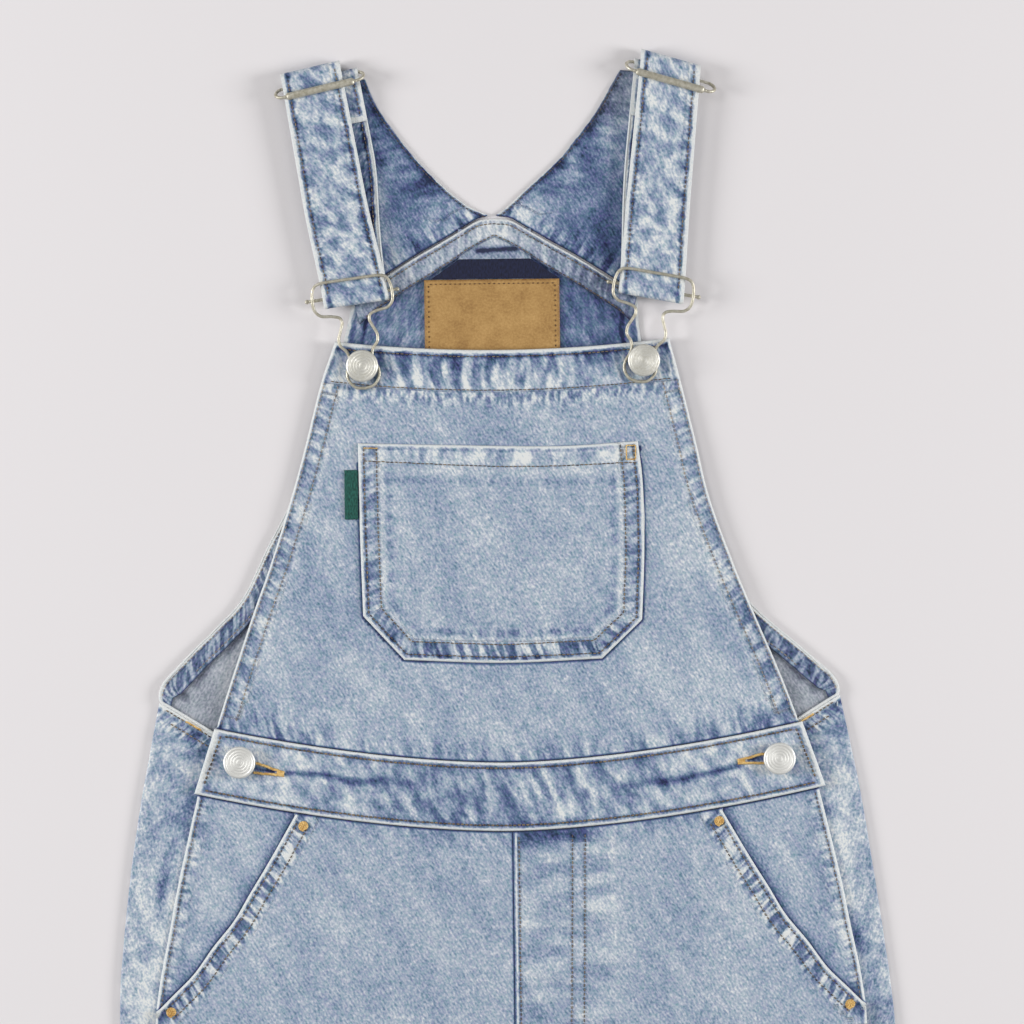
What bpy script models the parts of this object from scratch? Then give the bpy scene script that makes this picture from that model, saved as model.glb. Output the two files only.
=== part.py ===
"""Denim dungarees laid flat: a back layer on the surface, a front layer on it, straps and hardware.

Tables are in millimetres in the garment's own plan: x across, y up the body from the middle of the
waist seam, z up from the surface. The finished part is in metres and centred over the origin.
"""

import math

import bmesh
import bpy
import numpy as np

MM = 0.001
CLOTH = 1.2
GAP = 0.3
LAYER = CLOTH + GAP
HEM_Y = -1045
FOLD_Y = 442.2
PLAN_ORIGIN = (0, (HEM_Y + FOLD_Y) / 2, 0)
CROTCH_Y = -315
CENTRE_FRONT_X = 2.3

# The cross-over of the front layer above the surface: y, then the height of its underside.
FRONT_BASE = ((-1045, 3.0), (-230, 3.0), (-170, 4.5), (10, 4.5), (60, 3.3), (270, 3.3))
BODY_CROWN = 2.0
LEG_CROWN = 2.0
# Half the front's width, and the middle and half width of a leg: y, body, leg middle, leg half.
FRONT_WIDTH = (
    (-1045, 240, 156, 84),
    (-600, 235, 131, 99),
    (-315, 228, 113, 112),
    (-150, 220, 110, 110),
    (-15, 197, 98, 98),
    (25, 182, 91, 91),
    (263, 106, 53, 53),
)

# The waist seam and the waistband's foot bow down to the middle: lowest y, rise, half width.
WAIST_BOW = 1.7
WAIST_TOP = (1.8, 23.2, 182)
WAIST_FOOT = (-40.7, 25.7, 196)
WAISTBAND_TOP_ENDS = (-181.5, 182.5)
WAISTBAND_FOOT_ENDS = (-194.5, 196.5)
WAISTBAND_COLUMNS = 26

# Bib edges: y, left half width, right half width.
BIB_SIDE = (
    (26.5, 180, 180),
    (57, 170, 168.5),
    (95, 157, 152.5),
    (125, 146, 140.5),
    (165, 133, 126.5),
    (198, 123.5, 119),
    (238, 113, 109.5),
    (263, 104, 103),
)
BIB_TOP = {"middle": 257.3, "rise": 6.2, "half_width": 103}
BIB_BAND_FOOT = {"middle": 231, "rise": 7.2, "half_width": 111}
BIB_FOOT_ENDS = (-180, 180)
BIB_TOP_ENDS = (-104, 103)
BIB_BAND_FOOT_ENDS = (-112.7, 109.3)
BIB_SPANS = 12
BIB_BAND_COLUMNS = 16

# Right half of the back, mirrored for the left: x, y from the hem up to the top of the side fold.
BACK_OUTLINE = ((262, -1045), (256, -800), (252, -600), (249, -420), (247, -315))
HIP_OUTLINE = ((247, -315), (240, -158), (236, -112), (230, -65), (223, -20), (216, 16), (211, 41))
ARMHOLE_TURN = ((211, 41), (210.8, 47), (207.8, 54), (201, 61), (189, 73))
ARMHOLE = (
    (189, 73), (173, 88), (157, 106), (142, 138), (124, 172), (109, 203), (98, 236), (90, 264), (88, 290),
)
# How far the right armhole is drawn in towards the body, against the left one: y, distance.
ARMHOLE_DRAW = ((45, 0), (70, -2.5), (95, -4.8), (120, -5.5), (145, -4.5), (175, -2), (205, 0))
INSEAM = ((72, -1045), (50, -800), (32, -600), (18, -450), (9, -370), (0.15, -315))
CENTRE_GAP_X = 0.15
YOKE_TOP = ((88, 290), (66, 304.5), (50, 314.5), (35, 323), (20, 331.8), (9.5, 337.7), (0.15, 338.8))
YOKE_FOOT = ((84, 274), (76, 281), (64, 289), (50, 298), (39, 304.5), (27, 312), (14, 320.5), (0, 327.5))
YOKE_COLUMNS = 22
BACK_SHIFT = -4.5
# How far the back layer lies to the left of the middle: y, distance.
BACK_SHIFTS = (
    (-1045, 0), (-315, -1.2), (-158, -2.4), (-134, -3.4), (-109, -4.0), (-84, -4.4), (-59, -4.7), (0, -4.6),
    (41, -4.8), (65, -5.6), (90, -6.2), (115, -5.4), (150, BACK_SHIFT), (400, BACK_SHIFT),
)
WING_SEAM = 1.5
# Side strip that the back folds over to the front: y, width.
SIDE_STRIP = ((-1045, 30), (-200, 30), (-20, 42), (41, 46))
STRIP_TOP_SLOPE = 0.62
ARMHOLE_BAND = 13.0
BAND_INSET = 0.8

# Front panels: x, y of the side seam from the hem up, and of the pocket opening from its foot up.
FRONT_SIDE = ((240, -1045), (234, -800), (230, -600), (227, -420), (225, -315))
FRONT_HIP = ((225, -315), (222.5, -220), (219.8, -150))
BEARER_SIDE = ((219.8, -150), (216.5, -128), (210.8, -100), (206, -75), (198.4, -41.5), (192.5, -17))
POCKET_OPENING = (
    (218.5, -149.5), (209, -140), (196, -127), (184, -110.5), (171, -94.5),
    (160.5, -77), (150, -60), (139.5, -42), (132, -29),
)
BEARER_HIDDEN = 14

# Bib pocket: x, y of its left side, right side, and the ends of its foot and its mouth.
POCKET_LEFT = ((-63.3, 66), (-88.6, 93.4), (-90, 148), (-90.6, 200.6))
POCKET_RIGHT = ((59, 65.4), (84.1, 89.2), (86, 132), (85.6, 172), (82.8, 199.9))
POCKET_FOOT = ((-63.3, 66), (-1.7, 63.4), (59, 65.4))
POCKET_MOUTH = ((-90.6, 200.6), (-33.6, 198.8), (33.7, 197.4), (82.8, 199.9))
TAB = {"left": -99.2, "right": -91, "foot": 153.4, "top": 184}
TAB_WALL = 1.0
PATCH = {"left": -48.4, "right": 35.4, "foot": 243, "top": 301.2}
PATCH_WALL = 1.5
TAPE = {"foot": 301.6, "top": 313.8, "foot_half": 39.5, "top_half": 22.0, "middle": -4.5}
TAPE_WALL = 1.0

# Wings: the strap's wide back end, as x, y of its outer edge and of its shoulder.
WING_OUTER = {
    -1: ((-93, 291), (-100, 320), (-110, 355), (-121, 395), (-129.5, 424)),
    1: ((84, 290), (93, 325), (103, 362), (112, 396), (120, 424.5)),
}
# Their neck edges: x, y from the yoke up to the shoulder.
WING_NECK = {
    -1: ((-11.5, 340.7), (-20.6, 346.8), (-33.5, 356.9), (-43.9, 367), (-53.1, 377), (-61.1, 387),
         (-68.4, 397.1), (-75.1, 407), (-79.9, 417), (-83.2, 426)),
    1: ((0.5, 341), (4.2, 346.5), (14.8, 356.3), (26.1, 366.1), (36.8, 375.9), (45, 385.8),
        (53.1, 395.6), (60.1, 405.4), (65.8, 415.3), (71.5, 425.1), (74.6, 430)),
}
WING_SPANS = 9
WING_COLUMNS = 7

# Each strap: plan of its foot at the buckle's bar and of its top fold, how far it lies aside of these
# at its foot and top, how far its return layer lies towards the middle, and the turns in degrees of the
# buckle and of the top fold with its slider.
STRAPS = {
    "left": {"side": -1, "foot": (-93.0, 292.0), "top": (-117.5, 433.8), "aside": (2.0, 0.0),
             "inward": 10.0, "turn": 7.5, "top_turn": 12.5},
    "right": {"side": 1, "foot": (93.7, 293.5), "top": (108.3, 436.8), "aside": (-1.2, -2.0),
              "inward": 3.5, "turn": -10.5, "top_turn": -16.5},
}
STRAP_WALL = 1.6
STRAP_HALF_FOOT = 20.3
STRAP_HALF_TOP = 18.7
STRAP_START = 6
STRAP_SLACK = 3.0
SLANT_REACH = 45
ASIDE_REACH = 60
# Heights of the strap's middle: its front layer from the slider to the bar, its return layer from the
# bar to the slider, and its sewn tail from the slider down.
FRONT_HEIGHTS = {"slider": 8.9, "upper": 8.1, "middle": 7.6, "lower": 7.5, "near_bar": 8.0}
RETURN_HEIGHTS = {"near_bar": 3.9, "middle": 3.4, "upper": 2.7, "slider": 2.5}
TAIL_HEIGHTS = {"slider": 6.3, "middle": 6.0, "end": 5.0}
# Where those heights are: from the top, as a share of the length, and from the bar.
HEIGHT_PLACES = {
    "upper": 45, "return_upper": 40, "middle": 0.45, "lower": 30, "near_bar": 12, "return_near": 14,
}
FOLD_RADIUS = 4.1
BAR_RADIUS = 1.1
BAR_Z = 6.4
BAR_HALF = 28.2
BALL_RADIUS = 1.45
SLIDER_DROP = 15
SLIDER_BACK = 9.5
SLIDER_FRONT_Z = 11.3
SLIDER_BACK_Z = 4.4
SLIDER_LOOP = 1.9
SLIDER_DRIFT = 0.4
# Half of the slider's wire: across, share of the way from its front bar to its back bar, radius.
SLIDER_WIRE = (
    (0, 0, 1.25), (21, 0, 1.25), (22.5, 0, 0.75), (25, 0.02, 0.75), (27, 0.16, 0.75), (28, 0.38, 0.75),
    (28, 0.62, 0.75), (27, 0.84, 0.75), (25, 0.98, 0.75), (22.5, 1, 0.75), (0, 1, 0.75),
)
TAIL = 30

# Half of the buckle's bent wire, in the strap's own plan: across, up from the bar, height.
BUCKLE_WIRE = (
    (0, 10.2, 10.4), (10, 10.2, 10.4), (19, 10.0, 10.3), (24, 8.2, 9.9), (26.2, 4.0, 9.4),
    (26.7, -1.5, 9.2), (25.6, -6.6, 8.9), (21.5, -9.8, 8.6), (14.5, -11.2, 8.6), (9.7, -12.8, 8.6),
    (8.5, -16.2, 8.6), (10.2, -21, 8.5), (12.0, -25.5, 8.4), (11.6, -30, 8.3), (8.6, -33.6, 8.2),
    (7.2, -37.5, 8.2), (8.0, -42, 8.2), (9.8, -47, 8.2), (9.4, -52, 8.2), (5.8, -56.6, 8.2),
    (0, -58, 8.2),
)
BUCKLE_RADIUS = 0.95

BUTTON_RADIUS = 10
# Turned profile of a button above the cloth: radius, height.
BUTTON_PROFILE = (
    (0, 0), (4.5, 0), (4.5, 3.0), (9.0, 3.1), (10, 3.9), (9.7, 5.0), (8.6, 5.5),
    (7.0, 5.2), (5.6, 5.5), (3.4, 5.1), (1.8, 5.4), (0, 5.5),
)
BIB_BUTTONS = {"left": (-87.3, 248.3), "right": (87.1, 249.7)}
WAIST_BUTTONS = {"left": (-166.2, 3.9), "right": (168.0, 2.3)}
BUTTON_SIDES = 20

# Colours: name, red, green, blue, roughness, metallic.
FINISHES = {
    "denim": (0.36, 0.43, 0.51, 0.9, 0.0),
    "denim_inside": (0.12, 0.17, 0.25, 0.95, 0.0),
    "navy_tape": (0.02, 0.025, 0.05, 0.8, 0.0),
    "leather": (0.38, 0.22, 0.08, 0.6, 0.0),
    "green_tab": (0.03, 0.1, 0.1, 0.8, 0.0),
    "nickel": (0.6, 0.58, 0.52, 0.3, 1.0),
}


def clear_scene():
    """Remove every object of the open scene."""
    for obj in list(bpy.data.objects):
        bpy.data.objects.remove(obj, do_unlink=True)


def finish(name):
    """The material of that name, made on first use."""
    if name in bpy.data.materials:
        return bpy.data.materials[name]
    red, green, blue, roughness, metallic = FINISHES[name]
    material = bpy.data.materials.new(name)
    material.use_nodes = True
    shader = material.node_tree.nodes["Principled BSDF"]
    shader.inputs["Base Color"].default_value = (red, green, blue, 1)
    shader.inputs["Roughness"].default_value = roughness
    shader.inputs["Metallic"].default_value = metallic
    return material


def add_object(name, points, faces, material):
    """A mesh object from points in millimetres, with its faces turned outwards."""
    mesh = bpy.data.meshes.new(name)
    mesh.from_pydata((np.subtract(points, PLAN_ORIGIN) * MM).tolist(), [], faces)
    shape = bmesh.new()
    shape.from_mesh(mesh)
    bmesh.ops.recalc_face_normals(shape, faces=shape.faces)
    shape.to_mesh(mesh)
    shape.free()
    mesh.shade_smooth()
    mesh.set_sharp_from_angle(angle=math.radians(40))
    mesh.materials.append(finish(material))
    obj = bpy.data.objects.new(name, mesh)
    bpy.context.scene.collection.objects.link(obj)
    return obj


def smooth_step(value):
    """0 below 0, 1 above 1, and an easy rise between."""
    value = np.clip(value, 0, 1)
    return value * value * (3 - 2 * value)


def spline(rows, spans=5):
    """Points of a smooth curve through the rows, with that many spans between each pair."""
    rows = np.asarray(rows, float)
    ends = np.vstack([2 * rows[0] - rows[1], rows, 2 * rows[-1] - rows[-2]])
    t = (np.arange(spans) / spans)[:, None]
    runs = []
    for a, b, c, d in zip(ends, ends[1:], ends[2:], ends[3:]):
        bend = (2 * a - 5 * b + 4 * c - d) * t**2 + (3 * b - a - 3 * c + d) * t**3
        runs.append(0.5 * (2 * b + (c - a) * t + bend))
    return np.vstack([*runs, rows[-1:]])


def evenly(curve, count):
    """count + 1 points at equal steps along a curve."""
    curve = np.asarray(curve, float)
    along = np.concatenate([[0], np.cumsum(np.linalg.norm(np.diff(curve, axis=0), axis=1))])
    at = np.linspace(0, along[-1], count + 1)
    return np.stack([np.interp(at, along, column) for column in curve.T], axis=1)


def joined(*curves):
    """Curves end to end, each starting where the one before stopped."""
    return np.vstack([curves[0], *(curve[1:] for curve in curves[1:])])


def column(table, y, index):
    """A table's column at y, where the table's first column is y."""
    table = np.asarray(table, float)
    return np.interp(y, table[:, 0], table[:, index])


def bowed(edge, x):
    """y of an edge that rises from its middle to its ends as a power of x."""
    lowest, rise, half_width = edge
    return lowest + rise * (np.abs(x) / half_width) ** WAIST_BOW


def bowed_edge(edge, x_from, x_to, count, lift=0.0):
    """count + 1 plan points along such an edge, moved up by lift."""
    x = np.linspace(x_from, x_to, count + 1)
    return np.stack([x, bowed(edge, x) + lift], axis=1)


def patch_grid(foot, right, top, left):
    """A grid of plan points filled in between four edges: rows up, columns across."""
    rows, columns = len(left) - 1, len(foot) - 1
    v = (np.arange(rows + 1) / rows)[:, None, None]
    u = (np.arange(columns + 1) / columns)[None, :, None]
    across = (1 - u) * left[:, None] + u * right[:, None]
    up = (1 - v) * foot[None] + v * top[None]
    corners = (1 - u) * (1 - v) * foot[0] + u * (1 - v) * foot[-1]
    corners = corners + (1 - u) * v * top[0] + u * v * top[-1]
    return across + up - corners


def front_height(x, y):
    """Height of the front layer's underside over the surface at a plan point."""
    base = column(FRONT_BASE, y, 1)
    body = np.clip(np.abs(x) / column(FRONT_WIDTH, y, 1), 0, 1)
    leg = np.abs(np.abs(x) - column(FRONT_WIDTH, y, 2)) / column(FRONT_WIDTH, y, 3)
    in_leg = smooth_step((-60 - y) / 260)
    body_crown = BODY_CROWN * (1 - body**2) ** 2
    leg_crown = LEG_CROWN * (1 - np.clip(leg, 0, 1) ** 2) ** 2
    return base + (1 - in_leg) * body_crown + in_leg * leg_crown


def on_surface(x, y):
    """Height of what lies on the surface itself."""
    return np.zeros_like(x)


def wall(name, under, over, material, mask=None):
    """A closed cloth wall between two grids of points, in the cells that the mask keeps."""
    rows, columns = under.shape[0], under.shape[1]
    mask = np.ones((rows - 1, columns - 1), bool) if mask is None else mask
    number = np.arange(rows * columns).reshape(rows, columns)
    cells = [
        (number[i, j], number[i, j + 1], number[i + 1, j + 1], number[i + 1, j])
        for i, j in zip(*np.nonzero(mask))
    ]
    uses = {}
    for cell in cells:
        for a, b in zip(cell, cell[1:] + cell[:1]):
            key = (min(a, b), max(a, b))
            uses.setdefault(key, []).append((a, b))
    count = rows * columns
    faces = [tuple(corner + count for corner in cell) for cell in cells]
    faces += [cell[::-1] for cell in cells]
    for edges in uses.values():
        if len(edges) == 1:
            a, b = edges[0]
            faces.append((a, b, b + count, a + count))
    used = sorted({corner for face in faces for corner in face})
    place = {corner: k for k, corner in enumerate(used)}
    points = np.vstack([under.reshape(-1, 3), over.reshape(-1, 3)])[used]
    faces = [[place[corner] for corner in face] for face in faces]
    return add_object(name, points, faces, material)


def panel(name, plan, height, material, lift=0.0, thick=CLOTH):
    """A cloth panel over a plan grid, its underside lifted off the height function."""
    x, y = plan[..., 0], plan[..., 1]
    under = np.dstack([x, y, height(x, y) + lift])
    return wall(name, under, under + (0, 0, thick), material)


def back_shift(y):
    """How far the back layer lies to the left at that height."""
    return column(BACK_SHIFTS, y, 1)


def armhole_rows(rows, side):
    """A stretch of the armhole's edge, with the right one drawn in."""
    rows = np.array(rows, float)
    if side > 0:
        rows[:, 0] += column(ARMHOLE_DRAW, rows[:, 1], 1)
    return spline(rows)


def shifted_back(plan):
    """A plan of the back layer moved to where it lies."""
    return plan + np.stack([back_shift(plan[..., 1]), np.zeros(plan.shape[:-1])], axis=-1)


LEG_ROWS = 9
HIP_ROWS = 9
TURN_ROWS = 5
BIB_ROWS = 9
BACK_COLUMNS = 7
FOLD_SPANS = 3
STRIP_COLUMNS = 2
TURN_INNER = (20, 70)
FACING_TURN_ROWS = 5
FACING_ROWS = 7


def back_panel(name, side):
    """Hem to yoke in one, folded over at the outer side below the armhole."""
    outer = joined(
        evenly(spline(BACK_OUTLINE), LEG_ROWS),
        evenly(spline(HIP_OUTLINE), HIP_ROWS),
        evenly(armhole_rows(ARMHOLE_TURN, side), TURN_ROWS),
        evenly(armhole_rows(ARMHOLE, side), BIB_ROWS),
    )
    folded = LEG_ROWS + HIP_ROWS
    radius = CLOTH + GAP / 2
    outer[: folded + 1, 0] -= radius
    inner = joined(
        evenly(spline(INSEAM), LEG_ROWS),
        evenly(((CENTRE_GAP_X, CROTCH_Y), (CENTRE_GAP_X, TURN_INNER[0])), HIP_ROWS),
        evenly([(CENTRE_GAP_X, y) for y in TURN_INNER], TURN_ROWS),
        evenly(((CENTRE_GAP_X, TURN_INNER[1]), (CENTRE_GAP_X, YOKE_TOP[-1][1])), BIB_ROWS),
    )
    hem = evenly((inner[0], outer[0]), BACK_COLUMNS)
    yoke = evenly(spline(YOKE_TOP)[::-1], BACK_COLUMNS)
    floor_part = patch_grid(hem, outer, yoke, inner)

    edge_x, edge_y = outer[:, 0], outer[:, 1]
    level = np.ones(len(outer))
    rise = STRIP_TOP_SLOPE * smooth_step((edge_y + 60) / 100)
    width = column(SIDE_STRIP, edge_y, 1)
    columns_under, columns_over = [], []
    for k in range(1, FOLD_SPANS + 1):
        angle = math.pi * (k / FOLD_SPANS - 0.5)
        for columns, reach in ((columns_under, radius), (columns_over, GAP / 2)):
            x = edge_x + reach * math.cos(angle)
            z = level * (radius + reach * math.sin(angle))
            columns.append(np.stack([x, edge_y, z], axis=1))
    for k in range(1, STRIP_COLUMNS + 1):
        inward = width * k / STRIP_COLUMNS
        for columns, z in ((columns_under, 2 * radius), (columns_over, radius + GAP / 2)):
            place = np.stack([edge_x - inward, edge_y - rise * inward, level * z], axis=1)
            columns.append(place)

    def grid(columns, z):
        floor_points = np.dstack([floor_part, np.full(floor_part.shape[:2], z)])
        return np.concatenate([floor_points, np.stack(columns, axis=1)], axis=1)

    under, over = grid(columns_under, 0.0), grid(columns_over, CLOTH)
    for layer in (under, over):
        layer[..., 0] *= side
        layer[..., 0] += back_shift(layer[..., 1])
    mask = np.ones((under.shape[0] - 1, under.shape[1] - 1), bool)
    mask[folded:, BACK_COLUMNS:] = False
    wall(name, under, over, "denim", mask)


def armhole_facing(name, side):
    """The band turned in along the lower armhole."""
    turn = evenly(armhole_rows(ARMHOLE_TURN, side), FACING_TURN_ROWS)[2:]
    edge = joined(turn, evenly(armhole_rows(ARMHOLE[:6], side), FACING_ROWS))
    step = np.gradient(edge, axis=0)
    step /= np.linalg.norm(step, axis=1)[:, None]
    inward = np.stack([-step[:, 1], step[:, 0]], axis=1)
    widths = (ARMHOLE_BAND, (ARMHOLE_BAND + BAND_INSET) / 2, BAND_INSET)
    plan = np.stack([edge + inward * width for width in widths], axis=1)
    panel(name, shifted_back(plan * (side, 1)), on_surface, "denim_inside", lift=LAYER)


def wing(name, side):
    """The wide back end of a strap, from the yoke's edge up to the shoulder."""
    outer = evenly(spline(WING_OUTER[side]), WING_SPANS)
    neck = evenly(spline(WING_NECK[side]), WING_SPANS)
    yoke = spline(YOKE_TOP) * (side, 1) + (BACK_SHIFT, WING_SEAM)
    yoke = yoke[(yoke[:, 0] - neck[0, 0]) * side > WING_SEAM]
    outer[0] = yoke[0]
    foot = evenly(np.vstack([yoke, neck[:1]]), WING_COLUMNS)
    top = evenly((outer[-1], neck[-1]), WING_COLUMNS)
    panel(name, patch_grid(foot, neck, top, outer), on_surface, "denim_inside")


def yoke_band():
    """The stitched band over the seam between the wings and the back panels."""
    top = spline(YOKE_TOP)
    foot = spline(YOKE_FOOT)
    top = evenly(joined(top * (-1, 1), top[::-1]), YOKE_COLUMNS) + (BACK_SHIFT, 0)
    foot = evenly(joined(foot * (-1, 1), foot[::-1]), YOKE_COLUMNS) + (BACK_SHIFT, 0)
    plan = np.stack([foot, (foot + top) / 2, top], axis=0)
    panel("yoke_band", plan, on_surface, "denim", lift=LAYER)


def flat_piece(name, corners, material, lift, thick, columns=2):
    """A flat four-cornered piece on the back layer."""
    left_foot, right_foot, right_top, left_top = np.array(corners, float)
    foot = evenly((left_foot, right_foot), columns)
    top = evenly((left_top, right_top), columns)
    sides = [evenly(ends, 2) for ends in ((left_foot, left_top), (right_foot, right_top))]
    panel(name, patch_grid(foot, sides[1], top, sides[0]), on_surface, material, lift, thick)


def front_panel(name, side):
    """Hem to waistband, with the pocket opening cut from its outer top."""
    outer = joined(
        evenly(spline(FRONT_SIDE), LEG_ROWS),
        evenly(spline(FRONT_HIP), 4),
        evenly(spline(POCKET_OPENING), 9),
    )
    centre = side * CENTRE_FRONT_X + GAP / 2
    waist = bowed_edge(WAIST_FOOT, centre, POCKET_OPENING[-1][0], 6, -GAP)
    outer[-1] = waist[-1]
    seam = spline(INSEAM)
    fade = smooth_step((seam[:, 1] + 600) / (600 + CROTCH_Y))
    seam[:, 0] += fade * (centre - seam[-1, 0])
    inner = joined(
        evenly(seam, LEG_ROWS),
        evenly(((centre, CROTCH_Y), (centre, -150)), 4),
        evenly(((centre, -150), waist[0]), 9),
    )
    hem = evenly((inner[0], outer[0]), 6)
    panel(name, patch_grid(hem, outer, waist, inner) * (side, 1), front_height, "denim")


def pocket_bearer(name, side):
    """The hip cloth behind a pocket opening, under the front panel's edge."""
    outer = evenly(spline(BEARER_SIDE), 9)
    opening = evenly(spline(POCKET_OPENING), 9)
    inner = opening - (BEARER_HIDDEN, BEARER_HIDDEN * 0.5)
    outer[-1, 1] = bowed(WAIST_FOOT, outer[-1, 0]) - GAP
    inner[-1] = (inner[-1, 0], bowed(WAIST_FOOT, inner[-1, 0]) - GAP)
    foot = evenly((inner[0], outer[0]), 4)
    top = bowed_edge(WAIST_FOOT, inner[-1, 0], outer[-1, 0], 4, -GAP)
    plan = patch_grid(foot, outer, top, inner) * (side, 1)
    panel(name, plan, front_height, "denim", lift=-LAYER)


def waistband():
    """Two layers of cloth between the bib's foot and the front panels' tops."""
    top = bowed_edge(WAIST_TOP, *WAISTBAND_TOP_ENDS, WAISTBAND_COLUMNS)
    foot = bowed_edge(WAIST_FOOT, *WAISTBAND_FOOT_ENDS, WAISTBAND_COLUMNS)
    plan = np.stack([foot, (foot + top) / 2, top], axis=0)
    panel("waistband", plan, front_height, "denim", lift=-GAP, thick=2 * CLOTH)


def parabola_edge(edge, left, right, count):
    """Plan points along a shallow curve that is lowest in the middle."""
    x = np.linspace(left, right, count + 1)
    y = edge["middle"] + edge["rise"] * (x / edge["half_width"]) ** 2
    return np.stack([x, y], axis=1)


def bib_panel():
    """From the waist seam to the bib's top edge."""
    table = np.asarray(BIB_SIDE, float)
    left = spline(table[:, [1, 0]] * (-1, 1))
    right = spline(table[:, [2, 0]])
    left, right = evenly(left, BIB_SPANS), evenly(right, BIB_SPANS)
    foot = bowed_edge(WAIST_TOP, *BIB_FOOT_ENDS, BIB_SPANS, GAP)
    left[0], right[0] = foot[0], foot[-1]
    top = parabola_edge(BIB_TOP, *BIB_TOP_ENDS, BIB_SPANS)
    left[-1], right[-1] = top[0], top[-1]
    panel("bib_panel", patch_grid(foot, right, top, left), front_height, "denim")


def bib_top_band():
    """The turned top of the bib."""
    foot = parabola_edge(BIB_BAND_FOOT, *BIB_BAND_FOOT_ENDS, BIB_BAND_COLUMNS)
    top = parabola_edge(BIB_TOP, *BIB_TOP_ENDS, BIB_BAND_COLUMNS)
    plan = np.stack([foot, (foot + top) / 2, top], axis=0)
    panel("bib_top_band", plan, front_height, "denim", lift=LAYER)


def bib_pocket():
    """The patch pocket on the bib, with its two lower corners cut off."""
    left = np.array(POCKET_LEFT, float)
    right = np.array(POCKET_RIGHT, float)
    left = joined(left[:2], evenly(left[1:], 6))
    right = joined(right[:2], evenly(right[1:], 6))
    foot = evenly(spline(POCKET_FOOT), 8)
    mouth = evenly(spline(POCKET_MOUTH), 8)
    panel("bib_pocket", patch_grid(foot, right, mouth, left), front_height, "denim", lift=LAYER)


def pocket_tab():
    """The plain tab sewn into the pocket's left side."""
    plan = patch_grid(
        evenly(((TAB["left"], TAB["foot"]), (TAB["right"], TAB["foot"])), 1),
        evenly(((TAB["right"], TAB["foot"]), (TAB["right"], TAB["top"])), 3),
        evenly(((TAB["left"], TAB["top"]), (TAB["right"], TAB["top"])), 1),
        evenly(((TAB["left"], TAB["foot"]), (TAB["left"], TAB["top"])), 3),
    )
    panel("pocket_tab", plan, front_height, "green_tab", lift=LAYER, thick=TAB_WALL)


def strap_axes(strap):
    """The strap's length and its unit vectors across and up, in plan."""
    run = np.subtract(strap["top"], strap["foot"])
    length = np.linalg.norm(run)
    up = run / length
    return length, np.array((up[1], -up[0])), up


def slants(strap_row):
    """How far the strap's foot and top lean along it for each step across, as tangents."""
    across = strap_axes(strap_row)[1]
    lean = math.atan2(across[1], across[0])
    return [math.tan(math.radians(strap_row[key]) - lean) for key in ("turn", "top_turn")]


def arc(s, z, radius, first, last, spans):
    """Points of a vertical arc along the strap: s, height; angles in degrees from +s."""
    angle = np.radians(np.linspace(first, last, spans + 1))
    return np.stack([s + radius * np.cos(angle), z + radius * np.sin(angle)], axis=1)


def strap_path(length):
    """The strap's middle surface from the shoulder to its sewn end, as s up from the bar, height."""
    fold_s = length - FOLD_RADIUS - STRAP_WALL / 2
    floor_z = STRAP_WALL / 2
    bar_reach = BAR_RADIUS + GAP + STRAP_WALL / 2
    slider_s = length - SLIDER_BACK
    place = HEIGHT_PLACES
    middle_s = length * place["middle"]
    front = spline((
        (fold_s, floor_z + 2 * FOLD_RADIUS),
        (length - SLIDER_DROP, FRONT_HEIGHTS["slider"]),
        (length - place["upper"], FRONT_HEIGHTS["upper"]),
        (middle_s, FRONT_HEIGHTS["middle"]),
        (place["lower"], FRONT_HEIGHTS["lower"]),
        (place["near_bar"], FRONT_HEIGHTS["near_bar"]),
        (-STRAP_SLACK, BAR_Z + bar_reach),
    ), 3)
    back = spline((
        (-STRAP_SLACK, BAR_Z - bar_reach),
        (place["return_near"], RETURN_HEIGHTS["near_bar"]),
        (middle_s, RETURN_HEIGHTS["middle"]),
        (length - place["return_upper"], RETURN_HEIGHTS["upper"]),
        (slider_s, RETURN_HEIGHTS["slider"]),
    ), 4)
    tail = spline((
        (slider_s, TAIL_HEIGHTS["slider"]),
        (slider_s - place["near_bar"], TAIL_HEIGHTS["middle"]),
        (slider_s - TAIL, TAIL_HEIGHTS["end"]),
    ), 3)
    return joined(
        np.array(((length - STRAP_START, floor_z), (fold_s, floor_z))),
        arc(fold_s, floor_z + FOLD_RADIUS, FOLD_RADIUS, -90, 90, 8),
        front,
        arc(-STRAP_SLACK, BAR_Z, bar_reach, 90, 270, 8),
        back,
        arc(slider_s, SLIDER_BACK_Z, SLIDER_LOOP, -90, 90, 6),
        tail,
    )


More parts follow.
